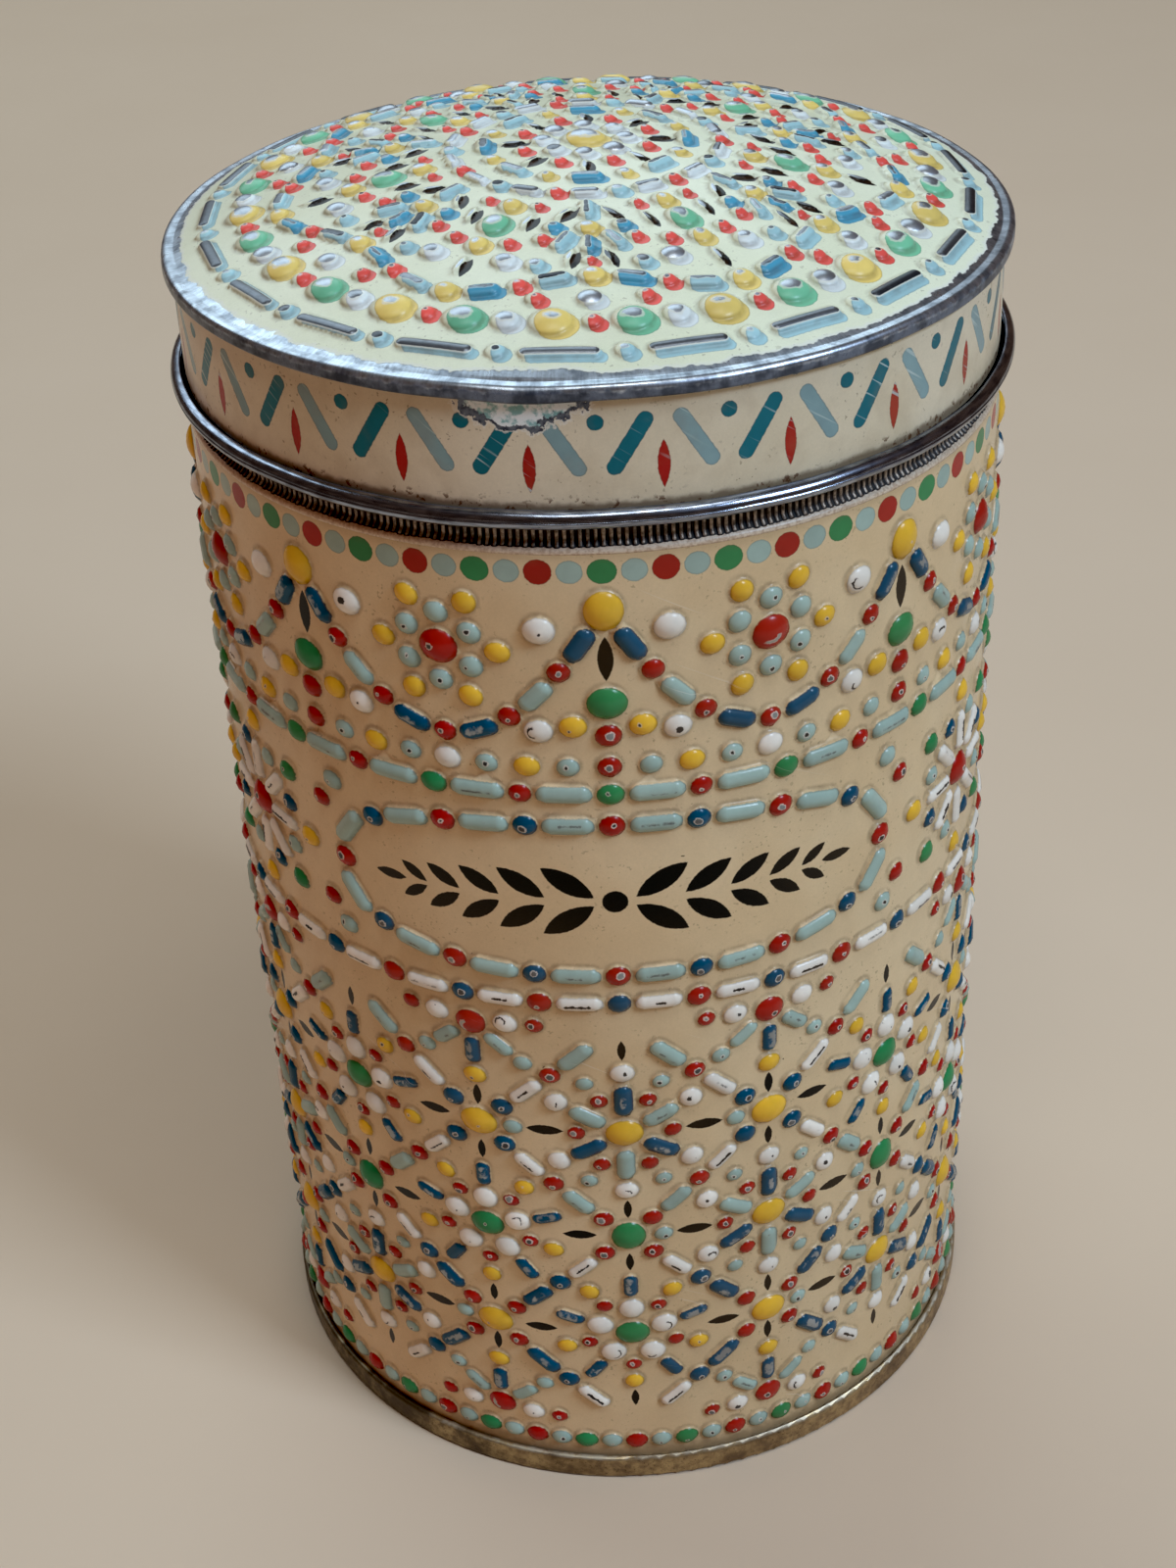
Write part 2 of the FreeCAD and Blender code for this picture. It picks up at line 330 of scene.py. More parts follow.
def lid_ornament():
    out = [bead("Y", 0, 0, 0, 1.12, of=LID)]
    out += around("w", 8, 4.35, UP, k=.9, of=LID)
    out += around("r", 8, 7.0, UP + math.pi / 8, of=LID)
    out += around("k", 8, 7.65, UP, rise=.34, of=LID)
    out += around("D", 8, 10.6, UP, radial=False, inks=[BLU, PAL], of=LID)
    out += around("y", 8, 10.5, UP + math.pi / 8, k=.72, of=LID)
    t = np.linspace(0, 2 * math.pi, 400, endpoint=False)
    out += strung(np.stack([14.2 * np.cos(t), 14.2 * np.sin(t)], 1), ["r", "V", "p", "V"] * 7, closed=True, gap=.45, of=LID)
    n = 7
    small = [bead("Q", 0, -3.9, UP, .90, of=LID), bead("y", 0, -.35, 0, .90, of=LID),
             bead("D", 0, 2.72, UP, .80, of=LID), bead("r", 0, 5.40, 0, .74, of=LID)]
    for g in (-1, 1):
        small += [bead("k", g * 2.25, -3.3, UP - g * .75, .95, rise=.32, of=LID),
                  bead("D", g * 2.5, 1.9, UP - g * .55, .90, PAL, of=LID),
                  bead("k", g * 1.85, 4.75, UP - g * .30, .90, rise=.32, of=LID),
                  bead("r", g * 4.6, 1.3, 0, .90, of=LID), bead("p", g * 3.4, -.75, 0, .90, BLU, of=LID),
                  bead("k", g * 5.9, -2.2, UP - g * .50, .90, rise=.32, of=LID)]
    for j in range(n):
        a = UP + 2 * math.pi * (j + .5) / n
        out += placed(small, 21.6 * math.cos(a), 21.6 * math.sin(a), a - UP)
        a = UP + 2 * math.pi * j / n
        for r, nm, k in ((17.6, "y", .95), (21.4, "G", .92), (25.2, "y", .95)):
            out.append(bead(nm, r * math.cos(a), r * math.sin(a), a, k, of=LID))
        out.append(bead("k", 28.75 * math.cos(a), 28.75 * math.sin(a), a, .92, rise=.32, of=LID))
        for r, d, nm, k in ((27.4, .322, "w", .92), (24.45, .268, "r", .90), (27.75, .578, "p", .92),
                            (33.05, .644, "r", .95), (17.25, .356, "r", .78), (33.0, 1.0, "w", .90)):
            for sgn in (-1, 1) if d < 1 else (1,):
                c = a + sgn * d * math.pi / n
                out.append(bead(nm, r * math.cos(c), r * math.sin(c), c + UP, k, of=LID))
    r = 31.15 + 1.7 * np.cos(n * (t - UP))
    out += strung(np.stack([r * np.cos(t), r * np.sin(t)], 1), ["r", "Q", "y", "D"] * 14, closed=True, gap=.55, of=LID)
    out += strung(np.stack([36.3 * np.cos(t), 36.3 * np.sin(t)], 1), ["w", "Y", "r", "G"] * 14, closed=True, of=LID)
    m, rr = 21, 40.45
    for j in range(m):
        a = 2 * math.pi * (j + .5) / m
        out.append(Bead(CAP, rr * math.cos(a), rr * math.sin(a), a + UP, 3.9, .70, PAL, .54))
        a = 2 * math.pi * j / m
        out.append(bead("p", rr * math.cos(a), rr * math.sin(a), 0, .88, of=LID))
    return out


def skirt_ornament(around_len):
    """Flat print on the lid's skirt: slanted bars, lozenges and dots."""
    out = []
    n = 22
    w = around_len / n
    lean = math.radians(32)
    for i in range(n):
        x = -around_len / 2 + (i + .5) * w
        for sgn in (-1, 1):
            out.append(Bead(CAP, x + sgn * w / 4, 141.6, UP + sgn * lean, 3.55, .80, TEAL if sgn < 0 else GREY, 0.0))
        out.append(Bead(LEAF, x, 139.3, UP, 2.5, .62, RED, 0.0))
        out.append(Bead(OVAL, x + w / 2, 143.9, 0, .80, .80, TEAL, 0.0))
    return out


# ---- how a stamped shape is measured ---------------------------------------
def measure(b, px, py):
    """Signed distance to a bead's outline, and 0 at its middle to 1 at its edge."""
    c, s = math.cos(b.t), math.sin(b.t)
    dx, dy = px - b.x, py - b.y
    lx, ly = np.abs(dx * c + dy * s), np.abs(dy * c - dx * s)
    if b.kind == OVAL:
        k = np.sqrt((lx / b.a) ** 2 + (ly / b.b) ** 2)
        g = np.sqrt((lx / b.a ** 2) ** 2 + (ly / b.b ** 2) ** 2)
        sd = np.where(k > .02, k * (k - 1) / np.maximum(g, 1e-6), -min(b.a, b.b))
        return sd, k
    if b.kind == CAP:
        d = np.hypot(np.maximum(lx - (b.a - b.b), 0), ly)
        return d - b.b, d / b.b
    big = (b.a ** 2 + b.b ** 2) / (2 * b.b)
    off = big - b.b
    tip = (lx - b.a) * off > ly * b.a
    sd = np.where(tip, np.hypot(lx - b.a, ly), np.hypot(lx, ly + off) - big)
    return sd, np.maximum(1 + sd / b.b, 0)


def foot_of(b):
    """How far outside its outline a bead's foot runs out into the sheet."""
    return .17 + .04 * b.b


def swell(rho, b):
    """Height over a bead, as a share of its rise: a round dome with a small fillet at its foot."""
    end = 1 + foot_of(b) / b.b
    k = np.clip((end - rho) / (end - .90), 0, 1)
    return np.maximum(1 - (rho / end) ** 2, 0) ** .90 * k * k * (3 - 2 * k)


def ring(b, rho, n, grow=0.0):
    """Points on a bead's outline drawn smaller by rho, or larger by grow."""
    if b.kind == CAP:
        ne = max(3, n // 2 - 1)
        t = np.linspace(-math.pi / 2, math.pi / 2, ne)
        h = b.a - b.b
        r = b.b * rho + grow
        side = np.linspace(h, -h, 11 if h > 2.4 else 3 if h > .9 else 2)[1:-1]
        x = np.concatenate([h + r * np.cos(t), side, -h - r * np.cos(t), -side])
        y = np.concatenate([r * np.sin(t), 0 * side + r, -r * np.sin(t), 0 * side - r])
    elif b.kind == OVAL:
        t = np.arange(n) * 2 * math.pi / n + (math.pi / n if rho < .7 else 0)
        x, y = (b.a * rho + grow) * np.cos(t), (b.b * rho + grow) * np.sin(t)
    else:
        s = np.cos(np.arange(n) * 2 * math.pi / n)
        half = np.sign(np.sin(np.arange(n) * 2 * math.pi / n + 1e-9))
        big = (b.a ** 2 + b.b ** 2) / (2 * b.b)
        yy = np.sqrt(big ** 2 - (b.a * s) ** 2) - (big - b.b)
        x, y = (b.a * rho + grow) * s, half * (yy * rho + grow * (1 - s ** 2))
    c, s = math.cos(b.t), math.sin(b.t)
    return np.stack([b.x + x * c - y * s, b.y + x * s + y * c], 1)


class Near:
    """Points sorted into square cells, to find those around a bead."""

    def __init__(self, p, cell=3.0):
        self.p, self.cell = p, cell
        self.lo = p.min(0)
        k = np.floor((p - self.lo) / cell).astype(int)
        self.nx, self.ny = k.max(0) + 1
        code = k[:, 1] * self.nx + k[:, 0]
        self.order = np.argsort(code, kind="stable")
        self.start = np.searchsorted(code[self.order], np.arange(self.nx * self.ny + 1))

    def about(self, x, y, r):
        x0, x1 = int((x - r - self.lo[0]) // self.cell), int((x + r - self.lo[0]) // self.cell)
        y0, y1 = int((y - r - self.lo[1]) // self.cell), int((y + r - self.lo[1]) // self.cell)
        x0, x1 = max(x0, 0), min(x1, self.nx - 1)
        got = [self.order[self.start[j * self.nx + x0]:self.start[j * self.nx + x1 + 1]]
               for j in range(max(y0, 0), min(y1, self.ny - 1) + 1) if x1 >= x0]
        return np.concatenate(got) if got else np.zeros(0, int)


def survey(p, beads, slip=(0.0, 0.0), reach=1.6):
    """Nearest outline of each point: signed distance and bead number."""
    near = Near(p)
    sd = np.full(len(p), reach)
    who = np.full(len(p), -1)
    for n, b in enumerate(beads):
        i = near.about(b.x + slip[0], b.y + slip[1], b.a + reach)
        if len(i):
            d, _ = measure(b, p[i, 0] - slip[0], p[i, 1] - slip[1])
            hit = d < sd[i]
            sd[i[hit]] = d[hit]
            who[i[hit]] = n
    return sd, who


def relief(p, beads, eps=.03):
    """Height of the stamping and its slope."""
    near = Near(p)
    h, gx, gy = (np.zeros(len(p)) for _ in range(3))
    for b in beads:
        if b.rise <= 0:
            continue
        i = near.about(b.x, b.y, b.a + 1.0)
        if not len(i):
            continue
        q = p[i]
        s = b.rise * swell(measure(b, q[:, 0], q[:, 1])[1], b)
        hit = s > h[i]
        j = i[hit]
        h[j] = s[hit]
        for e, g in (((eps, 0), gx), ((0, eps), gy)):
            a = swell(measure(b, q[hit, 0] + e[0], q[hit, 1] + e[1])[1], b)
            c = swell(measure(b, q[hit, 0] - e[0], q[hit, 1] - e[1])[1], b)
            g[j] = b.rise * (a - c) / (2 * eps)
    return h, gx, gy


def bead_points(beads, fine=True, slip=None, span=.70, most=13):
    """Mesh points on rings over each bead. slip adds a ring round the print beside it."""
    out = []
    for b in beads:
        girth = 2 * math.pi * math.sqrt((b.a ** 2 + b.b ** 2) / 2)
        if slip is not None:
            out.append(ring(b, 1.0, int(np.clip(round(girth / .75), 9, 16)), grow=.16) + np.array(slip))
        if b.rise <= 0:
            n = int(np.clip(round(girth / .8), 8, 12))
            if fine:
                out.append(ring(b, 1.0, n, grow=.20))
            else:
                out.append(ring(b, 1.0, 6))
            out.append(np.array([[b.x, b.y]]))
            continue
        if not fine:
            out.append(ring(b, 1.02, 6 if b.kind == OVAL else 8))
            out.append(np.array([[b.x, b.y]]))
            continue
        n = int(np.clip(round(girth / span), 10, most + (2 if b.b > 1.6 else 0)))
        out.append(ring(b, 1.0, n, grow=foot_of(b)))
        out.append(ring(b, .96, n))
        if b.b > 1.3 or most > 14:
            out.append(ring(b, .76, n))
            out.append(ring(b, .42, max(6, n // 2 + 1)))
        else:
            out.append(ring(b, .64, max(8, n - 3)))
        if b.kind == CAP:
            h = b.a - b.b
            c, s = math.cos(b.t), math.sin(b.t)
            out.append(np.array([[b.x + k * h * c, b.y + k * h * s] for k in np.linspace(-1, 1, 11 if h > 2.4 else 3 if h > .8 else 2)]))
        else:
            out.append(np.array([[b.x, b.y]]))
    return np.concatenate(out)


def hexgrid(x0, x1, y0, y1, step):
    out = []
    rows = int((y1 - y0) / (step * .866))
    for j in range(rows + 1):
        y = y0 + (y1 - y0) * j / max(rows, 1)
        n = int((x1 - x0) / step)
        x = x0 + (np.arange(n) + (.25 if j % 2 else .75)) * (x1 - x0) / n
        out.append(np.stack([x, np.full(n, y)], 1))
    return np.concatenate(out)


def triangles(p):
    v, _, faces, orig, _, _ = delaunay_2d_cdt([Vector(q) for q in p], [], [], 0, 1e-7, True)
    src = np.array([o[0] for o in orig])
    f = np.array(faces)
    f = src[f]
    a, b, c = p[f[:, 0]], p[f[:, 1]], p[f[:, 2]]
    area = (b[:, 0] - a[:, 0]) * (c[:, 1] - a[:, 1]) - (b[:, 1] - a[:, 1]) * (c[:, 0] - a[:, 0])
    f[area < 0] = f[area < 0][:, ::-1]
    return f[np.abs(area) > 1e-9]


# ---- sheet sections ---------------------------------------------------------
def bent(points, off, step=math.radians(11)):
    """A sheet's centre line with rounded corners, moved to its left by off."""
    out = []

    def side(p, d):
        out.append((p[0] - d[1] * off, p[1] + d[0] * off))

    pts = [np.array(q[:2], float) for q in points]
    for i, q in enumerate(pts):
        if i == 0:
            d = pts[1] - q
            side(q, d / np.hypot(*d))
            continue
        ua = (q - pts[i - 1]) / np.hypot(*(q - pts[i - 1]))
        if i == len(pts) - 1:
            side(q, ua)
            continue
        ub = (pts[i + 1] - q) / np.hypot(*(pts[i + 1] - q))
        ang = math.atan2(ua[0] * ub[1] - ua[1] * ub[0], ua @ ub)
        rad = points[i][2]
        a = q - ua * rad * math.tan(abs(ang) / 2)
        n = max(2, int(math.ceil(abs(ang) / step)))
        sgn = 1 if ang > 0 else -1
        c = a + np.array([-ua[1], ua[0]]) * rad * sgn
        for k in range(n + 1):
            t = ang * k / n
            d = np.array([ua[0] * math.cos(t) - ua[1] * math.sin(t), ua[0] * math.sin(t) + ua[1] * math.cos(t)])
            side(c - np.array([-d[1], d[0]]) * rad * sgn, d)
    return out


def divided(line, longest):
    """More points on the long stretches of a section."""
    out = [line[0]]
    for a, b in zip(line[:-1], line[1:]):
        n = max(1, int(math.ceil(math.hypot(b[0] - a[0], b[1] - a[1]) / longest)))
        out += [(a[0] + (b[0] - a[0]) * k / n, a[1] + (b[1] - a[1]) * k / n) for k in range(1, n + 1)]
    return out


def turned(section, angles):
    """Closed section turned about the axis. Angles run from the front to the right."""
    s = np.array(section)
    n, m = len(s), len(angles)
    ca, sa = np.cos(angles)[:, None], np.sin(angles)[:, None]
    v = np.stack([s[None, :, 0] * sa, -s[None, :, 0] * ca, np.broadcast_to(s[None, :, 1], (m, n))], -1)
    i, j = np.meshgrid(np.arange(m), np.arange(n), indexing="ij")
    i2, j2 = (i + 1) % m, (j + 1) % n
    q = np.stack([i * n + j, i2 * n + j, i2 * n + j2, i * n + j2], -1).reshape(-1, 4)
    return v.reshape(-1, 3), q


# ---- meshes ------------------------------------------------------------------
def mesh_object(name, verts, faces, mats, mat_of=None, points=None, faces_f=None, faces_c=None,
                normals=None, uv=None, faces_v=None):
    """verts in millimetres. faces is a list of index arrays (triangles, quads)."""
    me = bpy.data.meshes.new(name)
    loops = np.concatenate([f.ravel() for f in faces]).astype(np.int32)
    sizes = np.concatenate([np.full(len(f), f.shape[1]) for f in faces]).astype(np.int32)
    me.vertices.add(len(verts))
    me.vertices.foreach_set("co", (verts * MM).astype(np.float32).ravel())
    me.loops.add(len(loops))
    me.loops.foreach_set("vertex_index", loops)
    me.polygons.add(len(sizes))
    me.polygons.foreach_set("loop_start", np.concatenate([[0], np.cumsum(sizes)[:-1]]).astype(np.int32))
    me.polygons.foreach_set("loop_total", sizes)
    me.update(calc_edges=True)
    if me.validate():
        print(name, "had faces mended")
    for m in mats:
        me.materials.append(m)
    if mat_of is not None:
        me.polygons.foreach_set("material_index", np.asarray(mat_of, np.int32))
    me.polygons.foreach_set("use_smooth", np.ones(len(me.polygons), bool))
    for k, v in (points or {}).items():
        a = me.attributes.new(k, "FLOAT", "POINT")
        a.data.foreach_set("value", np.asarray(v, np.float32))
    for k, v in (faces_f or {}).items():
        a = me.attributes.new(k, "FLOAT", "FACE")
        a.data.foreach_set("value", np.asarray(v, np.float32))
    for k, v in (faces_c or {}).items():
        a = me.attributes.new(k, "FLOAT_COLOR", "FACE")
        a.data.foreach_set("color", np.asarray(v, np.float32).ravel())
    for k, v in (faces_v or {}).items():
        a = me.attributes.new(k, "FLOAT_VECTOR", "FACE")
        a.data.foreach_set("vector", np.asarray(v, np.float32).ravel())
    if uv is not None:
        layer = me.uv_layers.new(name="OFBake")
        layer.data.foreach_set("uv", np.asarray(uv, np.float32).ravel())
    if normals is not None:
        me.normals_split_custom_set_from_vertices(normals.astype(np.float32))
    ob = bpy.data.objects.new(name, me)
    bpy.context.scene.collection.objects.link(ob)
    return ob


def unit(v):
    return v / np.maximum(np.linalg.norm(v, axis=-1, keepdims=True), 1e-12)


# ---- ink colours and wear ----------------------------------------------------
def lin(r, g, b):
    return [((c / 255 + .055) / 1.055) ** 2.4 if c > 10 else c / 255 / 12.92 for c in (r, g, b)]


INK = {RED: lin(166, 32, 27), YEL: lin(236, 187, 62), GRN: lin(52, 134, 80), BLU: lin(7, 77, 105),
       PAL: lin(163, 187, 176), WHT: lin(240, 234, 221), BLK: lin(6, 4, 4), TEAL: lin(28, 105, 117),
       GREY: lin(132, 160, 162)}
# the lid's inks are lighter and cooler than the body's: painted skylight on the lid top, on a lid printed from another
# sheet
INK_LID_SKYLIT = {RED: lin(236, 94, 84), YEL: lin(233, 206, 118), GRN: lin(122, 194, 154), BLU: lin(84, 160, 188),
           PAL: lin(168, 207, 212), WHT: lin(226, 234, 232), BLK: lin(14, 13, 14)}
CREAM = lin(228, 208, 166)
PIT, STREAK, CRACK = 0.0, .5, 1.0


def worn(b):
    """Wear of a stamped bead on the body: its half width, how bright it is and its edge, and its form."""
    u = rng.random(4)
    if b.rise <= 0:
        return 0.0, 0.0, 0.0, PIT
    big = min(b.a, b.b) > 1.3
    if b.ink == RED:
        if big and b.b > 1.6:
            return (.10 + .06 * u[1], .75, .8, CRACK) if u[0] < .55 else (.16 + .2 * u[1], .1, .9, PIT)
        return (.13 + .26 * u[1] ** 1.3, .04 + .5 * u[2] ** 2, .95, PIT) if u[0] < .86 else (0.0, 0.0, 0.0, PIT)
    if b.ink == BLU:
        if b.kind == CAP:
            return (.26 + .26 * u[1], .55 + .4 * u[2], .30, STREAK) if u[0] < .85 else (0.0, 0.0, 0.0, PIT)
        return (.16 + .20 * u[1], .06 + .2 * u[2], .85, PIT) if u[0] < .85 else (0.0, 0.0, 0.0, PIT)
    if b.ink == PAL:
        if b.kind == CAP:
            return (.07 + .09 * u[1], .10, .55, STREAK) if u[0] < .55 else (0.0, 0.0, 0.0, PIT)
        return (.10 + .16 * u[1], .04, .75, PIT) if u[0] < .72 else (0.0, 0.0, 0.0, PIT)
    if b.ink == WHT:
        if b.kind == CAP:
            return (.10 + .09 * u[1], .02, .45, PIT) if u[0] < .80 else (.07, .1, .4, STREAK)
        if u[0] < .14:
            return .07 + .05 * u[1], .05, .5, CRACK
        return (.09 + .34 * u[1] ** 2, .05, .5, PIT) if u[0] < .66 else (0.0, 0.0, 0.0, PIT)
    return (.07 + .10 * u[1], .10, .6, PIT) if u[0] < .22 else (0.0, 0.0, 0.0, PIT)


def worn_lid(b):
    """Wear of a bead on the lid: how much of its top is bare, and how bright the metal and its edge are."""
    u = rng.random(3)
    if b.rise <= 0:
        return 0.0, 0.0, 0.0, PIT
    if b.kind == CAP and b.a > 3.5:
        return .95 + .10 * u[0], .12 + .26 * u[1], .85, PIT
    amount, inner, edge = {WHT: (.95, .72, .55), YEL: (.55, .80, .75), GRN: (.52, .75, .70), RED: (.34, .35, .60),
                           BLU: (.50, .55, .35), PAL: (.62, .40, .50), BLK: (.62, .60, .15)}[b.ink]
    return amount * (.62 + .62 * u[0]), np.clip(inner + .7 * (u[1] - .5), 0, 1), edge, PIT


def tint(beads, lid, inks=INK):
    """Per bead: ink with a little drift, wear, and a number of its own. The last row is bare ground."""
    n = len(beads)
    ink, wear, seed = np.ones((n + 1, 4)), np.zeros((n + 1, 4)), np.zeros(n + 1)
    ink[n, :3] = CREAM
    for i, b in enumerate(beads):
        ink[i, :3] = np.array(inks[b.ink]) * (1 + .16 * (rng.random() - .5))
        wear[i] = worn_lid(b) if lid else worn(b)
        seed[i] = rng.random()
    return ink, wear, seed


def outlines(beads, slip):
    """Per bead, for the print: place and turn, then half length, half width and kind. The last is far away."""
    at = np.array([[b.x + slip[0], b.y + slip[1], b.t] for b in beads] + [[9e3, 9e3, 0]])
    size = np.array([[b.a, b.b, b.kind] for b in beads] + [[.1, .1, 0]])
    return at, size


# ---- body wall ---------------------------------------------------------------
GROOVE = AROUND / 2 - 1.65
LOCK_HALF = 2.1


def groove(p):
    d = np.abs(p[:, 0] - GROOVE)
    return -.12 * np.clip((.26 - d) / .10, 0, 1)


def fold_inside(p):
    d = AROUND / 2 - np.abs(p[:, 0])
    ends = np.clip((p[:, 1] - 4.1) / .2, 0, 1) * np.clip((129.5 - p[:, 1]) / .2, 0, 1)
    return -.62 * np.clip((LOCK_HALF + .12 - d) / .14, 0, 1) * ends


def rolled(p, r, h):
    a = p[:, 0] / WALL_R
    return np.stack([(r + h) * np.sin(a), -(r + h) * np.cos(a), p[:, 1]], 1)


def rolled_normal(p, gx, gy):
    a = p[:, 0] / WALL_R
    z = np.zeros(len(p))
    n = np.stack([np.sin(a), -np.cos(a), z], 1)
    t = np.stack([np.cos(a), np.sin(a), z], 1)
    k = np.array([0, 0, 1.0])
    return unit(n - gx[:, None] * t - gy[:, None] * k)


def wall_points(beads, step, fine):
    half, cols, rows = AROUND / 2, 480, 86
    u = np.linspace(-half, half, cols + 1)
    v = np.linspace(WALL_LOW, WALL_HIGH, rows + 1)
    edge = [np.stack([u, np.full(cols + 1, WALL_LOW)], 1), np.stack([u, np.full(cols + 1, WALL_HIGH)], 1),
            np.stack([np.full(rows - 1, -half), v[1:-1]], 1), np.stack([np.full(rows - 1, half), v[1:-1]], 1)]
    own = bead_points(beads, fine)
    extra = []
    vv = np.linspace(WALL_LOW, WALL_HIGH, rows + 1)[1:-1]
    if fine:
        for d in (-.42, -.26, -.16, .16, .26, .42):
            extra.append(np.stack([np.full(rows - 1, GROOVE + d), vv], 1))
    else:
        for s in (-1, 1):
            for d in (LOCK_HALF - .03, LOCK_HALF + .13):
                extra.append(np.stack([np.full(rows - 1, s * (half - d)), vv], 1))
    extra = np.concatenate(extra)
    grid = hexgrid(-half + 1.0, half - 1.0, WALL_LOW + 1.0, WALL_HIGH - .6, step)
    sd, _ = survey(grid, beads, reach=2.5)
    grid = grid[sd > (.35 + .30 * step)]
    away = np.abs(np.abs(grid[:, 0]) - (half - 2)) > (3.4 if not fine else 0)
    if fine:
        away = np.abs(grid[:, 0] - GROOVE) > .9
    grid = grid[away]
    p = np.concatenate(edge + [extra, own, grid])
    low = np.arange(cols + 1)
    high = low + cols + 1
    left = np.concatenate([[0], np.arange(rows - 1) + 2 * (cols + 1), [cols + 1]])
    right_ = np.concatenate([[cols], np.arange(rows - 1) + 2 * (cols + 1) + rows - 1, [2 * cols + 1]])
    return p, low, high, left, right_


def build_wall(mats):
    beads = body_ornament()
    ink, wear, seed = tint(beads, False)
    slip = (.07, -.13)
    # outside
    p, low, high, left, right_ = wall_points(beads, 2.0, True)
    h, gx, gy = relief(p, beads)
    g = groove(p)
    tri = triangles(p)
    mid = p[tri].mean(1)
    _, who = survey(mid, beads, slip)
    _, bump = survey(mid, [b if b.rise > 0 else Bead(OVAL, 1e4, 1e4, 0, .1, .1, 0, 0) for b in beads])
    co = rolled(p, WALL_R, h + g)
    no = rolled_normal(p, gx, gy)
    # inside
    q, low2, high2, left2, right2 = wall_points(beads, 3.4, False)
    h2, gx2, gy2 = relief(q, beads)
    w2 = fold_inside(q)
    tri2 = triangles(q)
    mid2 = q[tri2].mean(1)
    co2 = rolled(q, WALL_R - T, .92 * h2 + w2)
    no2 = -rolled_normal(q, .92 * gx2, .92 * gy2)
    # one closed sheet
    n1 = len(p)
    weld = np.arange(n1 + len(q))
    weld[right_] = left
    weld[right2 + n1] = left2 + n1
    rimq = []
    for a, b, flip in ((low, low2 + n1, False), (high, high2 + n1, True)):
        s = np.stack([a[:-1], b[:-1], b[1:], a[1:]], 1)
        rimq.append(s[:, ::-1] if flip else s)
    rimq = np.concatenate(rimq)
    tri2f = tri2[:, ::-1] + n1
    tris = np.concatenate([tri, tri2f])
    # unrolled picture coordinates: two rows outside, one inside
    un = np.concatenate([p, q])

    def picture(idx, mid_u, inside):
        uu, vv = un[idx][..., 0], (un[idx][..., 1] - WALL_LOW) / (WALL_HIGH - WALL_LOW)
        row = np.where(mid_u < 0, 0, 1)[:, None]
        ux = np.where(row == 0, uu + AROUND / 2, uu) / (AROUND / 2) * .97 + .015
        vy = .012 + .455 * row + vv * .435
        if inside:
            ux, vy = (uu + AROUND / 2) / AROUND * .97 + .015, .925 + vv * .065
        return np.stack([ux, vy], -1).reshape(-1, 2)

    uv = np.concatenate([picture(tri, mid[:, 0], False), picture(tri2f, mid2[:, 0], True),
                         picture(rimq, np.full(len(rimq), -1.0), True)])
    tris, rimq = weld[tris], weld[rimq]
    used = np.unique(np.concatenate([tris.ravel(), rimq.ravel()]))
    new = np.full(len(weld), -1)
    new[used] = np.arange(len(used))
    co, no = np.concatenate([co, co2])[used], np.concatenate([no, no2])[used]
    pad = np.zeros(len(q))
    pts = {"line": np.concatenate([np.clip(-g / .12, 0, 1), pad])[used]}
    nin = len(tri2) + len(rimq)
    last = len(beads)
    who[who < 0] = last
    bump[bump < 0] = last
    at, size = outlines(beads, slip)
    bat, _ = outlines(beads, (0, 0))
    ob = mesh_object(
        "body_wall_sheet", co, [new[tris], new[rimq]], mats,
        np.concatenate([np.zeros(len(tri)), np.ones(nin)]), pts,
        {"seed": np.concatenate([seed[bump], np.zeros(nin)])},
        {"ink": np.concatenate([ink[who], np.tile(ink[last], (nin, 1))]),
         "wear": np.concatenate([wear[bump], np.tile(wear[last], (nin, 1))])}, no, uv,
        {"at": np.concatenate([at[who], np.tile(at[last], (nin, 1))]),
         "size": np.concatenate([size[who], np.tile(size[last], (nin, 1))]),
         "bump_at": np.concatenate([bat[bump], np.tile(bat[last], (nin, 1))]),
         "bump_size": np.concatenate([size[bump], np.tile(size[last], (nin, 1))])})
    print("wall", len(beads), "beads", len(tri), "outside", len(tri2), "inside")
    return ob


# ---- neck, ribbed band ---------------------------------------------------------
def build_neck(mats):
    line_ = [(44.45, WALL_HIGH), (44.45, 130.60, .35), (43.55, 131.28, .30), (43.55, 134.60, .40),
             (43.47, 135.30, .40), (43.47, 147.45, .19), (43.09, 147.45, .19), (43.09, 145.0)]
    out = divided(bent(line_, -T / 2), 1.6)
    inn = divided(bent(line_, T / 2), 1.6)
    ang = np.linspace(-math.pi, math.pi, 361)[:-1]
    sec = out + inn[::-1]
    v, q = turned(sec, ang)
    n = len(sec)
    j = q[:, 0] % n
    kind = np.where(j < len(out) - 1, 0, 1)
    return mesh_object("body_neck_sheet", v, [q], mats, kind)


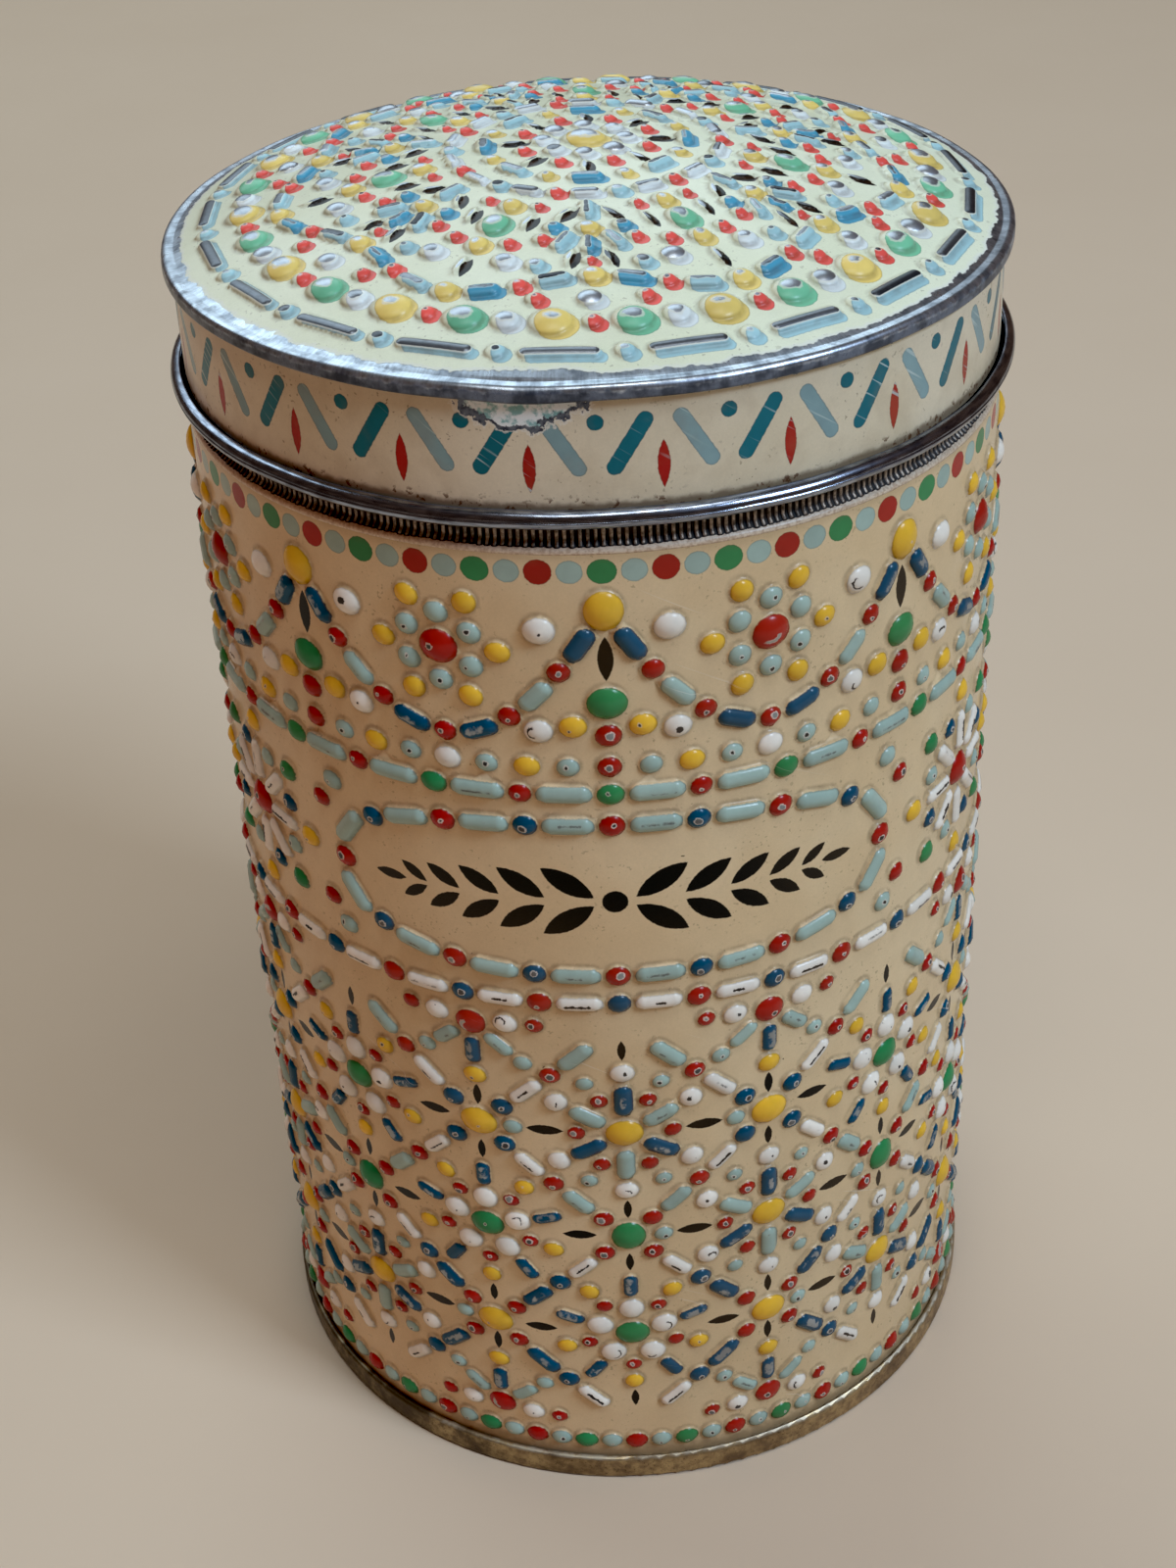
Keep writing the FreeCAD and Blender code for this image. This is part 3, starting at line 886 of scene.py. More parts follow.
def build_ribs(mats):
    count, per = 368, 6
    wave = np.array([0, .10, .80, 1.0, .80, .10])
    ang = np.arange(count * per) * 2 * math.pi / (count * per)
    draw = np.random.default_rng(5)
    tall = np.tile(wave, count) * np.repeat(draw.uniform(.62, 1.0, count), per)
    slide = np.repeat(draw.uniform(-.07, .07, count), per) * (np.tile(wave, count) > .05)
    drift = .10 * np.sin(ang * 5 + 1) + .06 * np.sin(ang * 17)
    # radius, height, share of the rib's height, and which way it stands
    rows = [(44.33, 130.86, 0.0, .603, .798), (44.26, 130.932, .45, .603, .798), (44.12, 131.037, 1.0, .603, .798),
            (43.90, 131.204, 1.0, .66, .75), (43.715, 131.48, 1.0, .87, .50), (43.71, 131.80, 1.0, 1.0, 0.0),
            (43.71, 132.6, 1.0, 1.0, 0.0), (43.71, 133.6, 1.0, 1.0, 0.0), (43.71, 134.15, 1.0, 1.0, 0.0),
            (43.71, 134.40, .35, 1.0, 0.0), (43.71, 134.58, 0.0, 1.0, 0.0)]
    m = len(ang)
    v, crest = [], []
    for j, (r, z, k, nr, nz) in enumerate(rows):
        up = .25 * tall * k * (1 + drift)
        low = slide if j < 3 else 0.0
        rr = r - .798 * low + up * nr
        rr = np.minimum(rr, 43.98) if z > 131.9 else rr
        v.append(np.stack([rr * np.sin(ang), -rr * np.cos(ang), z + .603 * low + up * nz], 1))
        crest.append(tall * k)
    for r, z in ((43.62, 134.58), (43.62, 131.42), (44.25, 130.80)):
        v.append(np.stack([r * np.sin(ang), -r * np.cos(ang), np.full(m, z)], 1))
        crest.append(np.zeros(m))
    v = np.stack(v, 1)
    crest = np.stack(crest, 1)
    n = v.shape[1]
    i, j = np.meshgrid(np.arange(m), np.arange(n), indexing="ij")
    q = np.stack([i * n + j, ((i + 1) % m) * n + j, ((i + 1) % m) * n + (j + 1) % n, i * n + (j + 1) % n], -1).reshape(-1, 4)
    return mesh_object("body_neck_ribs", v.reshape(-1, 3), [q], mats, None, {"crest": crest.ravel()})


# ---- lid skirt -----------------------------------------------------------------
def build_skirt(mats):
    mid = SKIRT_IN + T / 2
    rad = (CURL_D - T) / 2
    low, c = CURL_LOW + T / 2, mid + rad
    line_ = [(c - .15, CURL_LOW + CURL_D - T / 2), (c + rad, CURL_LOW + CURL_D - T / 2, rad), (c + rad, low, rad),
             (mid, low, rad), (mid, 146.80, .25), (44.82, 146.80)]
    face = bent(line_, -T / 2)      # inside of the curl, then the printed face
    back = bent(line_, T / 2)       # outside of the curl, then the inside of the skirt
    face = divided(face, .55)
    back = divided(back, 1.2)
    sec = face + back[::-1]
    r0 = SKIRT_IN + T
    base = np.linspace(-math.pi, math.pi, 481)[:-1]
    lap = np.array([math.pi - d / r0 for d in (2.36, 2.5, 2.64)])
    ang = np.sort(np.concatenate([base, lap, -lap]))
    v, q = turned(sec, ang)
    n = len(sec)
    s = np.array(sec)
    vz, vr = np.tile(s[:, 1], len(ang)), np.tile(s[:, 0], len(ang))
    va = np.repeat(ang, n)
    on_face = np.tile(np.arange(n) < len(face), len(ang)) & (np.abs(vr - r0) < .02) & (vz > 135.3) & (vz < 146.4)
    # the lap of the sheet at the back
    d = (math.pi - np.abs(va)) * r0
    k = np.clip((2.64 - d) / .26, 0, 1) * np.clip((vz - 135.4) / .3, 0, 1) * np.clip((146.25 - vz) / .3, 0, 1)
    push = np.where(on_face, .22 * k, 0)
    v[:, 0] += push * np.sin(va)
    v[:, 1] -= push * np.cos(va)
    # a curl that isn't quite even
    wave = .07 * np.sin(4 * va + .6) + .045 * np.sin(9 * va + 2.0) + .025 * np.sin(23 * va)
    v[:, 2] += np.clip((136.8 - vz) / 1.3, 0, 1) * wave
    beads = skirt_ornament(2 * math.pi * r0)
    ink, wear, seed = tint(beads, True)
    j = q[:, 0] % n
    fz = vz[q].mean(1)
    fa = np.where(np.abs(va[q].max(1) - va[q].min(1)) > 3, math.pi, va[q].mean(1)) * r0
    _, who = survey(np.stack([fa, fz], 1), beads, reach=1.5)
    who[who < 0] = len(beads)
    # 0 printed face, 1 curl, 2 inside
    fr = np.hypot(v[q][:, :, 0], v[q][:, :, 1]).mean(1)
    is_back = j >= len(face)
    kind = np.where(is_back, np.where((fz < CURL_LOW + CURL_D + .05) & ((fr > SKIRT_IN + .06) | (fz < 134.0)), 1, 2),
                    np.where(fz > 135.0, 0, 1))
    # picture coordinates: the printed face in four rows, the rest below
    total = 2 * math.pi * r0
    seclen = np.concatenate([[0], np.cumsum(np.hypot(*(s[1:] - s[:-1]).T))])
    ua, ue = fa, va[q] * r0
    ue = np.where(ue - ua[:, None] > total / 2, ue - total, np.where(ua[:, None] - ue > total / 2, ue + total, ue))
    row = np.clip(((ua + total / 2) / (total / 4)).astype(int), 0, 3)
    ux = (ue + total / 2 - row[:, None] * total / 4) / (total / 4) * .96 + .02
    vy_face = .01 + row[:, None] * .18 + (v[q][:, :, 2] - 134.8) / 12.6 * .165
    sl = np.tile(seclen, len(ang))[q]
    sl = np.where(np.abs(sl.max(1) - sl.min(1))[:, None] > 8, np.minimum(sl, seclen[-1]), sl)
    vy_rest = .745 + row[:, None] * .062 + np.clip(sl / seclen[-1], 0, 1) * .056
    uv = np.stack([ux, np.where((kind == 0)[:, None], vy_face, vy_rest)], -1).reshape(-1, 2)
    last = len(beads)
    at, size = outlines(beads, (0, 0))
    return mesh_object("lid_skirt_sheet", v, [q], mats, kind, None, {"seed": seed[who]},
                       {"ink": ink[who], "wear": np.tile(wear[last], (len(q), 1))}, None, uv,
                       {"at": at[who], "size": size[who]})


# ---- lid top -------------------------------------------------------------------
def build_top(mats):
    beads = lid_ornament()
    ink, wear, seed = tint(beads, True, INK_LID_SKYLIT)
    slip = (.62, -.50)
    ro = DOME_RAD + T / 2
    cols = 480
    th = np.arange(cols) * 2 * math.pi / cols
    edge = DOME_CUT * np.stack([np.cos(th), np.sin(th)], 1)

    def spread(step, own):
        grid = hexgrid(-43, 43, -43, 43, step)
        grid = grid[np.hypot(*grid.T) < DOME_CUT - .5]
        sd, _ = survey(grid, beads, reach=2.5)
        return np.concatenate([edge, own, grid[sd > .52]])

    p = spread(.95, bead_points(beads, True, slip, .52, 20))
    q = spread(1.6, bead_points(beads, False))
    tri, trq = triangles(p), triangles(q)
    mid = p[tri].mean(1)
    _, who = survey(mid, beads, slip)
    _, bump = survey(mid, beads)
    last = len(beads)
    who[who < 0] = last
    bump[bump < 0] = last

    def domed(p, r, k):
        """Points and normals on the dome, with the stamping k times as high."""
        h, gx, gy = relief(p, beads)
        n = np.stack([p[:, 0] / ro, p[:, 1] / ro, np.sqrt(ro ** 2 - (p ** 2).sum(1)) / ro], 1)
        slope = k * np.stack([gx, gy, np.zeros(len(p))], 1)
        slope -= n * (slope * n).sum(1)[:, None]
        return np.array([0, 0, DOME_C]) + n * (r + k * h)[:, None], unit(n - slope)

    co, no = domed(p, ro, 1.0)
    co2, no2 = domed(q, ro - T, .92)
    no2 = -no2
    n1 = len(p)
    # rim and folded lip, from the dome's edge out and under, then back inside
    run = .35
    sl = math.asin(DOME_EDGE_R / DOME_RAD)
    zc = DOME_C + math.sqrt(DOME_RAD ** 2 - DOME_CUT ** 2)
    line_ = [(DOME_CUT, zc), (DOME_EDGE_R + run * math.cos(sl), RIM_MID - run * math.sin(sl), .6),
             (45.10, RIM_MID - run * math.sin(sl), .55), (45.10, 146.45, .2), (44.50, 146.45)]
    outer = bent(line_, T / 2, math.radians(7))
    inner = bent(line_, -T / 2, math.radians(12))
    sec = divided(outer, .4)[1:] + inner[::-1][:-1]
    k = len(sec)
    s = np.array(sec)
    # a slight wave all round and a dent at the front, growing from the dome's edge outwards
    ang = np.arctan2(np.cos(th), -np.sin(th))
    dent = np.exp(-((ang * 45 + 6.8) / 4.4) ** 2)
    dz = -.30 * dent + .05 * np.sin(3 * ang + .7) + .035 * np.sin(8 * ang + 2.1) + .02 * np.sin(19 * ang)
    dr = -.10 * dent + .03 * np.sin(5 * ang + 1.3) + .015 * np.sin(13 * ang + .4)
    grow = np.clip((s[:, 0] - DOME_CUT) / (45.0 - DOME_CUT), 0, 1)[:, None]
    rr, rz = s[:, 0][:, None] + grow * dr, s[:, 1][:, None] + grow * dz
    rim = np.stack([rr * np.cos(th), rr * np.sin(th), rz], -1)
    rows = [np.arange(cols)] + [n1 + len(q) + i * cols + np.arange(cols) for i in range(k)] + [n1 + np.arange(cols)]
    quads = []
    for a, b in zip(rows[:-1], rows[1:]):
        a2, b2 = np.roll(a, -1), np.roll(b, -1)
        quads.append(np.stack([a, b, b2, a2], 1))
    quads = np.concatenate(quads)
    nout = (len(divided(outer, .4)) - 1) * cols
    qk = np.where(np.arange(len(quads)) < nout, 0, 1)
    verts = np.concatenate([co, co2, rim.reshape(-1, 3)])
    # rim normals from its section and its run round the lid
    rimn = unit(np.cross(np.gradient(rim, axis=0), np.roll(rim, -1, 1) - np.roll(rim, 1, 1))).reshape(-1, 3)
    normals = np.concatenate([no, no2, rimn])
    tri2 = trq[:, ::-1] + n1
    m = len(tri2) + len(quads)
    # picture coordinates
    flat = np.concatenate([p, q, np.zeros((k * cols, 2))])
    uv1 = .37 + flat[tri] / 44 * .36
    uv2 = .875 + flat[tri2] / 44 * .115
    ci = np.arange(len(quads)) % cols
    rj = np.arange(len(quads)) // cols
    part = ci // (cols // 4)
    lo_ = (ci % (cols // 4)) / (cols / 4)
    hi_ = lo_ + 4 / cols
    nrows = len(rows) - 1
    y0 = .76 + part * .058 + rj / nrows * .05
    y1 = .76 + part * .058 + (rj + 1) / nrows * .05
    uv3 = np.stack([np.stack([.01 + lo_ * .7, y0], 1), np.stack([.01 + lo_ * .7, y1], 1),
                    np.stack([.01 + hi_ * .7, y1], 1), np.stack([.01 + hi_ * .7, y0], 1)], 1)
    uv = np.concatenate([uv1.reshape(-1, 2), uv2.reshape(-1, 2), uv3.reshape(-1, 2)])
    at, size = outlines(beads, slip)
    bat, _ = outlines(beads, (0, 0))
    ob = mesh_object("lid_top_sheet", verts, [np.concatenate([tri, tri2]), quads], mats,
                     np.concatenate([np.zeros(len(tri)), np.ones(len(tri2)), qk]), None,
                     {"seed": np.concatenate([seed[bump], np.zeros(m)])},
                     {"ink": np.concatenate([ink[who], np.tile(ink[last], (m, 1))]),
                      "wear": np.concatenate([wear[bump], np.tile(wear[last], (m, 1))])}, normals, uv,
                     {"at": np.concatenate([at[who], np.tile(at[last], (m, 1))]),
                      "size": np.concatenate([size[who], np.tile(size[last], (m, 1))]),
                      "bump_at": np.concatenate([bat[bump], np.tile(bat[last], (m, 1))]),
                      "bump_size": np.concatenate([size[bump], np.tile(size[last], (m, 1))])})
    print("lid", len(beads), "beads", len(tri), "outside", len(tri2), "inside", 2 * len(quads), "rim")
    return ob


# ---- materials -----------------------------------------------------------------
class Tree:
    """A material's nodes, written as values."""

    def __init__(self, name):
        self.mat = bpy.data.materials.new(name)
        self.mat.use_nodes = True
        self.t = self.mat.node_tree
        self.t.nodes.clear()
        self.out = self.t.nodes.new("ShaderNodeOutputMaterial")
        tc = self.t.nodes.new("ShaderNodeTexCoord")
        sc = self.t.nodes.new("ShaderNodeVectorMath")
        sc.operation = "SCALE"
        sc.inputs["Scale"].default_value = 1 / MM
        self.t.links.new(tc.outputs["Object"], sc.inputs[0])
        self.p = sc.outputs[0]
        sep = self.t.nodes.new("ShaderNodeSeparateXYZ")
        self.t.links.new(self.p, sep.inputs[0])
        self.x, self.y, self.z = sep.outputs

    def put(self, kind, ins=None, **props):
        n = self.t.nodes.new(kind)
        for k, v in props.items():
            setattr(n, k, v)
        for k, v in (ins or {}).items():
            self.join(v, n.inputs[k])
        return n

    def join(self, v, sock):
        if isinstance(v, bpy.types.NodeSocket):
            self.t.links.new(v, sock)
        elif isinstance(v, (list, tuple)) and len(v) == 3 and sock.type == "RGBA":
            sock.default_value = (*v, 1.0)
        else:
            sock.default_value = v

    def op(self, kind, a, b=0.0, c=0.0, clamp=False):
        return self.put("ShaderNodeMath", {0: a, 1: b, 2: c}, operation=kind, use_clamp=clamp).outputs[0]

    def add(self, a, b):
        return self.op("ADD", a, b)

    def mul(self, a, b):
        return self.op("MULTIPLY", a, b)

    def step(self, v, lo, hi, a=0.0, b=1.0):
        return self.put("ShaderNodeMapRange", {"Value": v, "From Min": lo, "From Max": hi, "To Min": a, "To Max": b},
                        interpolation_type="SMOOTHSTEP").outputs[0]

    def mix(self, k, a, b, how="MIX"):
        n = self.put("ShaderNodeMix", {0: k, 6: a, 7: b}, data_type="RGBA", blend_type=how)
        return n.outputs[2]

    def lerp(self, k, a, b):
        return self.put("ShaderNodeMix", {0: k, 2: a, 3: b}, data_type="FLOAT").outputs[0]

    def noise(self, scale, detail=2.0, rough=.55, vec=None, twist=0.0):
        n = self.put("ShaderNodeTexNoise", {"Vector": self.p if vec is None else vec, "Scale": scale, "Detail": detail,
                                            "Roughness": rough, "Distortion": twist}, noise_dimensions="3D")
        return n.outputs["Fac"]

    def cells(self, scale, vec=None):
        n = self.put("ShaderNodeTexVoronoi", {"Vector": self.p if vec is None else vec, "Scale": scale})
        return n.outputs["Distance"]

    def stretched(self, kx, ky, kz, turn=0.0):
        n = self.put("ShaderNodeMapping", {"Vector": self.p, "Scale": (kx, ky, kz), "Rotation": (0, turn, 0)})
        return n.outputs[0]

    def drawn(self, a, k, turn, kx, ky):
        """Coordinates along and across strokes on the rolled-out sheet."""
        v = self.put("ShaderNodeCombineXYZ", {0: a, 1: k, 2: 0.0}).outputs[0]
        n = self.put("ShaderNodeMapping", {"Vector": v, "Rotation": (0, 0, turn)}).outputs[0]
        return self.put("ShaderNodeMapping", {"Vector": n, "Scale": (kx, ky, 1)}).outputs[0]

    def value(self, name):
        return self.put("ShaderNodeAttribute", attribute_name=name).outputs["Fac"]

    def colour(self, name):
        return self.put("ShaderNodeAttribute", attribute_name=name).outputs["Color"]

    def triple(self, name):
        return self.put("ShaderNodeSeparateXYZ",
                        {0: self.put("ShaderNodeAttribute", attribute_name=name).outputs["Vector"]}).outputs

    def size(self, p, q):
        return self.op("SQRT", self.add(self.mul(p, p), self.mul(q, q)))

    def outline(self, u, v, at, size):
        """Signed distance, in millimetres, to the outline that a face carries, the place along and across it,
        its half length and half width, and 1 for a long one."""
        cx, cy, turn = self.triple(at)
        a, b, kind = self.triple(size)
        dx, dy = self.op("SUBTRACT", u, cx), self.op("SUBTRACT", v, cy)
        c, s = self.op("COSINE", turn), self.op("SINE", turn)
        along = self.add(self.mul(dx, c), self.mul(dy, s))
        across = self.op("SUBTRACT", self.mul(dy, c), self.mul(dx, s))
        lx, ly = self.op("ABSOLUTE", along), self.op("ABSOLUTE", across)
        cap = self.op("SUBTRACT", self.size(self.op("MAXIMUM", self.op("SUBTRACT", lx, self.op("SUBTRACT", a, b)), 0.0), ly), b)
        ea, eb = self.op("DIVIDE", lx, a), self.op("DIVIDE", ly, b)
        k = self.size(ea, eb)
        g = self.op("MAXIMUM", self.size(self.op("DIVIDE", ea, a), self.op("DIVIDE", eb, b)), .02)
        oval = self.op("DIVIDE", self.mul(k, self.op("SUBTRACT", k, 1.0)), g)
        big = self.op("DIVIDE", self.add(self.mul(a, a), self.mul(b, b)), self.mul(b, 2.0))
        leaf = self.op("SUBTRACT", self.size(lx, self.add(ly, self.op("SUBTRACT", big, b))), big)
        is_cap = self.op("COMPARE", kind, float(CAP), .3)
        is_leaf = self.op("COMPARE", kind, float(LEAF), .3)
        return self.lerp(is_leaf, self.lerp(is_cap, oval, cap), leaf), along, across, a, b, is_cap

    def pick(self, v, k):
        """Another number from a bead's own number, from -.5 to .5."""
        return self.add(self.op("FRACT", self.mul(v, k)), -.5)

    def parts(self, c):
        return self.put("ShaderNodeSeparateColor", {0: c}).outputs

    def shade(self, colour, rough, metal=0.0, height=None, depth=.02, strength=.6, spec=.5):
        b = self.put("ShaderNodeBsdfPrincipled", {"Base Color": colour, "Roughness": rough, "Metallic": metal,
                                                  "Specular IOR Level": spec})
        if height is not None:
            n = self.put("ShaderNodeBump", {"Height": height, "Distance": depth * MM, "Strength": strength})
            self.t.links.new(n.outputs[0], b.inputs["Normal"])
        self.t.links.new(b.outputs[0], self.out.inputs[0])
        return self.mat


def printed(name, place):
    t = Tree(name)
    big, med, fine = t.noise(.05, 3), t.noise(.55, 3), t.noise(2.6, 2)
    if place == "lid":
        # the lid's ground is lighter and cooler than the body's: painted skylight on the lid top
        ground = t.mix(t.step(big, .38, .62), lin(231, 235, 208), lin(225, 228, 198))
    elif place == "skirt":
        ground = t.mix(t.step(big, .36, .64), lin(221, 209, 182), lin(213, 199, 169))
    else:
        ground = t.mix(t.step(big, .36, .64), lin(230, 206, 165), lin(223, 196, 153))
    lift = t.add(t.add(t.mul(med, .10), t.mul(t.add(fine, t.noise(5.2, 1)), .075)), .875)
    ground = t.mix(1.0, ground, lift, "MULTIPLY")
    # fine brown specks in the lacquer
    speck = t.mul(t.step(t.noise(2.1, 1), .66, .71), t.step(t.noise(.16, 2), .42, .66))
    ground = t.mix(t.mul(speck, .55 if place == "skirt" else .35), ground, lin(96, 72, 44))
    # ink
    arc = t.mul(t.op("ARCTAN2", t.x, t.mul(t.y, -1.0)), WALL_R if place == "wall" else SKIRT_IN + T)
    u, v = (t.x, t.y) if place == "lid" else (arc, t.z)
    edge = t.add(t.outline(u, v, "at", "size")[0], t.mul(t.add(fine, -.5), .16))
    inked = t.step(edge, .045, -.045)
    ink = t.mix(1.0, t.colour("ink"), t.add(t.mul(med, .30), .85), "MULTIPLY")
    paint = t.mix(inked, ground, ink)
    # a thin darker line where the ink ends
    brink = t.mul(t.step(edge, -.16, -.02), t.step(edge, .06, 0.0))
    paint = t.mix(t.mul(brink, .25), paint, lin(60, 48, 36))
    metal_k = 0.0
    rough = t.add(t.mul(fine, .10), .27 if place == "lid" else .19)
    height = t.mul(fine, .10)
    if place != "skirt":
        foot, along, across, a, b, cap = t.outline(u, v, "bump_at", "bump_size")
        # dirt and painted shade round the foot of the stamped shapes
        grime_and_shade = t.mul(t.mul(t.step(foot, .60, .08), t.step(foot, -.22, .02)), t.step(med, .22, .72))
        paint = t.mix(t.mul(grime_and_shade, .42), paint, lin(92, 62, 36))
        wear = t.put("ShaderNodeAttribute", attribute_name="wear")
        w = t.parts(wear.outputs["Color"])
        seen = t.step(w[0], .005, .03)
        seed = t.value("seed")
    if place == "wall":
        # pits, streaks and cracks where the tops are rubbed or knocked through
        form = wear.outputs["Alpha"]
        length = t.mul(t.mul(cap, t.op("SUBTRACT", a, b)), t.add(t.mul(t.pick(seed, 87.1), .7), .62))
        px = t.op("MAXIMUM", t.op("SUBTRACT", t.op("ABSOLUTE", t.add(along, t.mul(t.mul(t.pick(seed, 17.3), .55), b))), length), 0.0)
        py = t.add(across, t.mul(t.mul(t.pick(seed, 41.7), .50), b))
        d = t.add(t.size(px, py), t.add(t.mul(t.add(t.noise(2.0, 2), -.5), .42), t.mul(t.add(t.noise(6.0, 1), -.5), .16)))
        streak, arched = t.op("COMPARE", form, STREAK, .2), t.step(form, .7, .9)
        d = t.lerp(arched, d, t.op("ABSOLUTE", t.op("SUBTRACT", d, t.mul(b, .44))))
        over = t.op("SUBTRACT", w[0], d)
        # a ring is open on one side, a rubbed streak comes and goes
        way = t.mul(seed, 201.0)
        side = t.add(t.mul(along, t.op("COSINE", way)), t.mul(across, t.op("SINE", way)))
        open_ = t.step(t.op("DIVIDE", side, t.op("MAXIMUM", t.size(along, across), .05)), .30, .62)
        torn = t.step(t.noise(.95, 2, .5), .40, .56)
        seen = t.mul(seen, t.lerp(arched, t.lerp(streak, 1.0, torn), open_))
        rim = t.mul(t.mul(t.step(over, -.16, -.08), seen), t.op("MULTIPLY_ADD", streak, -.8, 1.0))
        core = t.mul(t.mul(t.step(over, t.op("MULTIPLY_ADD", streak, -.10, -.02), t.op("MULTIPLY_ADD", streak, .08, .04)), seen), t.op("MULTIPLY_ADD", streak, -.22, 1.0))
        paint = t.mix(t.mul(rim, t.mul(w[2], .85)), paint, lin(226, 216, 202))
        paint = t.mix(core, paint, t.mix(w[1], lin(28, 20, 17), lin(196, 198, 194)))
        metal_k = t.mul(t.mul(core, t.step(w[1], .35, .7)), .6)
        rough = t.op("MULTIPLY_ADD", core, .12, rough)
        height = t.add(height, t.add(t.mul(rim, -.25), t.mul(core, -.6)))
    elif place == "lid":
        # tops rubbed down to the tin
        deep = t.op("DIVIDE", t.mul(foot, -1.0), b)
        rub = t.add(deep, t.add(t.mul(t.mul(t.add(t.noise(.85, 2, .5), -.5), .55), t.step(w[0], .92, .84, .05, 1.0)), t.mul(t.add(fine, -.5), .06)))
        over = t.op("SUBTRACT", rub, t.add(t.mul(w[0], -.92), 1.12))
        rim = t.mul(t.step(over, -.16, -.07), seen)
        core = t.mul(t.step(over, -.01, .06), seen)
        paint = t.mix(t.mul(rim, t.mul(w[2], .9)), paint, lin(222, 220, 204))
        tone = t.add(w[1], t.mul(t.mul(t.add(t.noise(1.1, 2), -.5), .5), t.step(w[0], .92, .84, .3, 1.0)))
        paint = t.mix(core, paint, t.mix(t.step(tone, .0, .9), lin(54, 54, 59), lin(186, 193, 202)))
        metal_k = t.mul(core, .9)
        rough = t.op("MULTIPLY_ADD", core, .05, rough)
        height = t.add(height, t.add(t.mul(rim, -.2), t.mul(core, -.4)))

    if place == "wall":
        # grime along the seam and the foot, painted shade under the lid at the top, and a bare line at the back
        z = t.z
        low = t.mul(t.step(t.add(z, t.mul(t.add(med, -.5), 3.5)), 6.2, 3.6), .55)
        paint = t.mix(low, paint, lin(92, 66, 40))
        # darker towards the top, under the lid's curl: painted shade
        high = t.mul(t.step(t.add(z, t.mul(t.add(med, -.5), 1.6)), 128.9, 130.4), .22)
        paint = t.mix(high, paint, lin(112, 84, 56))
        tone = t.step(t.noise(.028, 2), .35, .7)
        paint = t.mix(t.mul(tone, .10), paint, lin(150, 112, 66))
        scr = t.mul(t.step(t.noise(1.0, 2, .5, t.drawn(arc, z, .5, .05, 2.6)), .70, .735),
                    t.step(t.noise(.06, 2), .50, .62))
        paint = t.mix(t.mul(scr, .30), paint, lin(240, 232, 214))
        nick = t.mul(t.step(t.noise(.9, 4, .65), .735, .76), .9)
        paint = t.mix(nick, paint, lin(66, 50, 38))
        bare = t.value("line")
        paint = t.mix(bare, paint, t.mix(med, lin(40, 32, 26), lin(110, 98, 86)))
        rough = t.op("MULTIPLY_ADD", low, .25, rough)
    elif place == "lid":
        r = t.op("SQRT", t.add(t.mul(t.x, t.x), t.mul(t.y, t.y)))
        rag = t.add(t.add(r, t.mul(t.add(t.noise(.26, 3, .55), -.5), 1.9)), t.mul(t.add(t.noise(1.3, 3, .55), -.5), .75))
        turn = t.mul(t.op("ARCTAN2", t.x, t.mul(t.y, -1.0)), 45.0)
        spot = t.op("POWER", t.mul(t.add(turn, 5.5), 1 / 6.5), 2.0)
        rag = t.add(rag, t.op("DIVIDE", 1.0, t.add(t.mul(t.mul(spot, spot), 1.6), 1.4)))
        bare = t.step(rag, 43.18, 43.34)
        lip = t.mul(t.step(rag, 42.75, 43.15), t.step(bare, 1.0, .2))
        paint = t.mix(t.mul(lip, .55), paint, lin(226, 228, 220))
        blot = t.noise(.42, 4, .58)
        brushed = t.noise(1.0, 3, .6, t.drawn(turn, t.z, 0.0, 3.4, .9))
        steel = t.mix(t.step(blot, .40, .68), lin(200, 210, 222), lin(138, 145, 156))
        steel = t.mix(t.mul(t.step(t.noise(.85, 3), .56, .72), .55), steel, lin(84, 82, 90))
        steel = t.mix(1.0, steel, t.step(brushed, .30, .70, .82, 1.10), "MULTIPLY")
        # the rim's lower face darker and less metallic: painted shade and a painted dark reflection under the rim
        under = t.step(t.add(t.z, t.mul(t.add(t.noise(.9, 3, .6), -.5), 1.1)), 147.62, 147.12)
        steel = t.mix(t.mul(under, .85), steel, t.mix(t.step(blot, .42, .60), lin(80, 87, 102), lin(46, 49, 60)))
        paint = t.mix(bare, paint, steel)
        metal_k = t.op("MAXIMUM", metal_k, t.mul(bare, t.op("MULTIPLY_ADD", under, -.6, .95)))
        rough = t.lerp(bare, rough, t.add(t.mul(blot, .30), .16))
        height = t.add(height, t.mul(bare, t.add(t.mul(brushed, .5), -.9)))
    else:
        z = t.z
        # dirt and painted shade in the crease over the curl
        low = t.step(t.add(z, t.mul(t.add(t.noise(.7, 3), -.5), 1.0)), 135.95, 135.25)
        paint = t.mix(t.mul(low, .70), paint, lin(92, 64, 38))
        rust = t.mul(t.step(t.noise(.95, 3, .6), .57, .64), t.step(t.add(z, t.mul(t.add(t.noise(.3, 2), -.5), 1.6)), 136.3, 135.6))
        paint = t.mix(t.mul(rust, .8), paint, lin(86, 46, 22))
        haze = t.mul(t.step(t.noise(.22, 3), .45, .7), .16)
        paint = t.mix(haze, paint, lin(150, 120, 80))
        # scrapes on the bars
        scr = t.mul(t.step(t.noise(1.0, 2, .5, t.drawn(arc, z, .62, .10, 2.2)), .60, .66),
                    t.step(t.noise(.09, 1), .40, .60))
        paint = t.mix(t.mul(t.mul(scr, inked), .8), paint, lin(188, 204, 200))
        # the chip at the front, under the rim
        e = t.add(t.op("POWER", t.mul(t.add(arc, 7.2), 1 / 6.3), 2.0), t.op("POWER", t.mul(t.op("SUBTRACT", 146.5, z), 1 / 3.5), 2.0))
        e = t.add(e, t.add(t.mul(t.add(t.noise(.55, 4, .6), -.5), 1.5), t.mul(t.add(t.noise(2.4, 2), -.5), .45)))
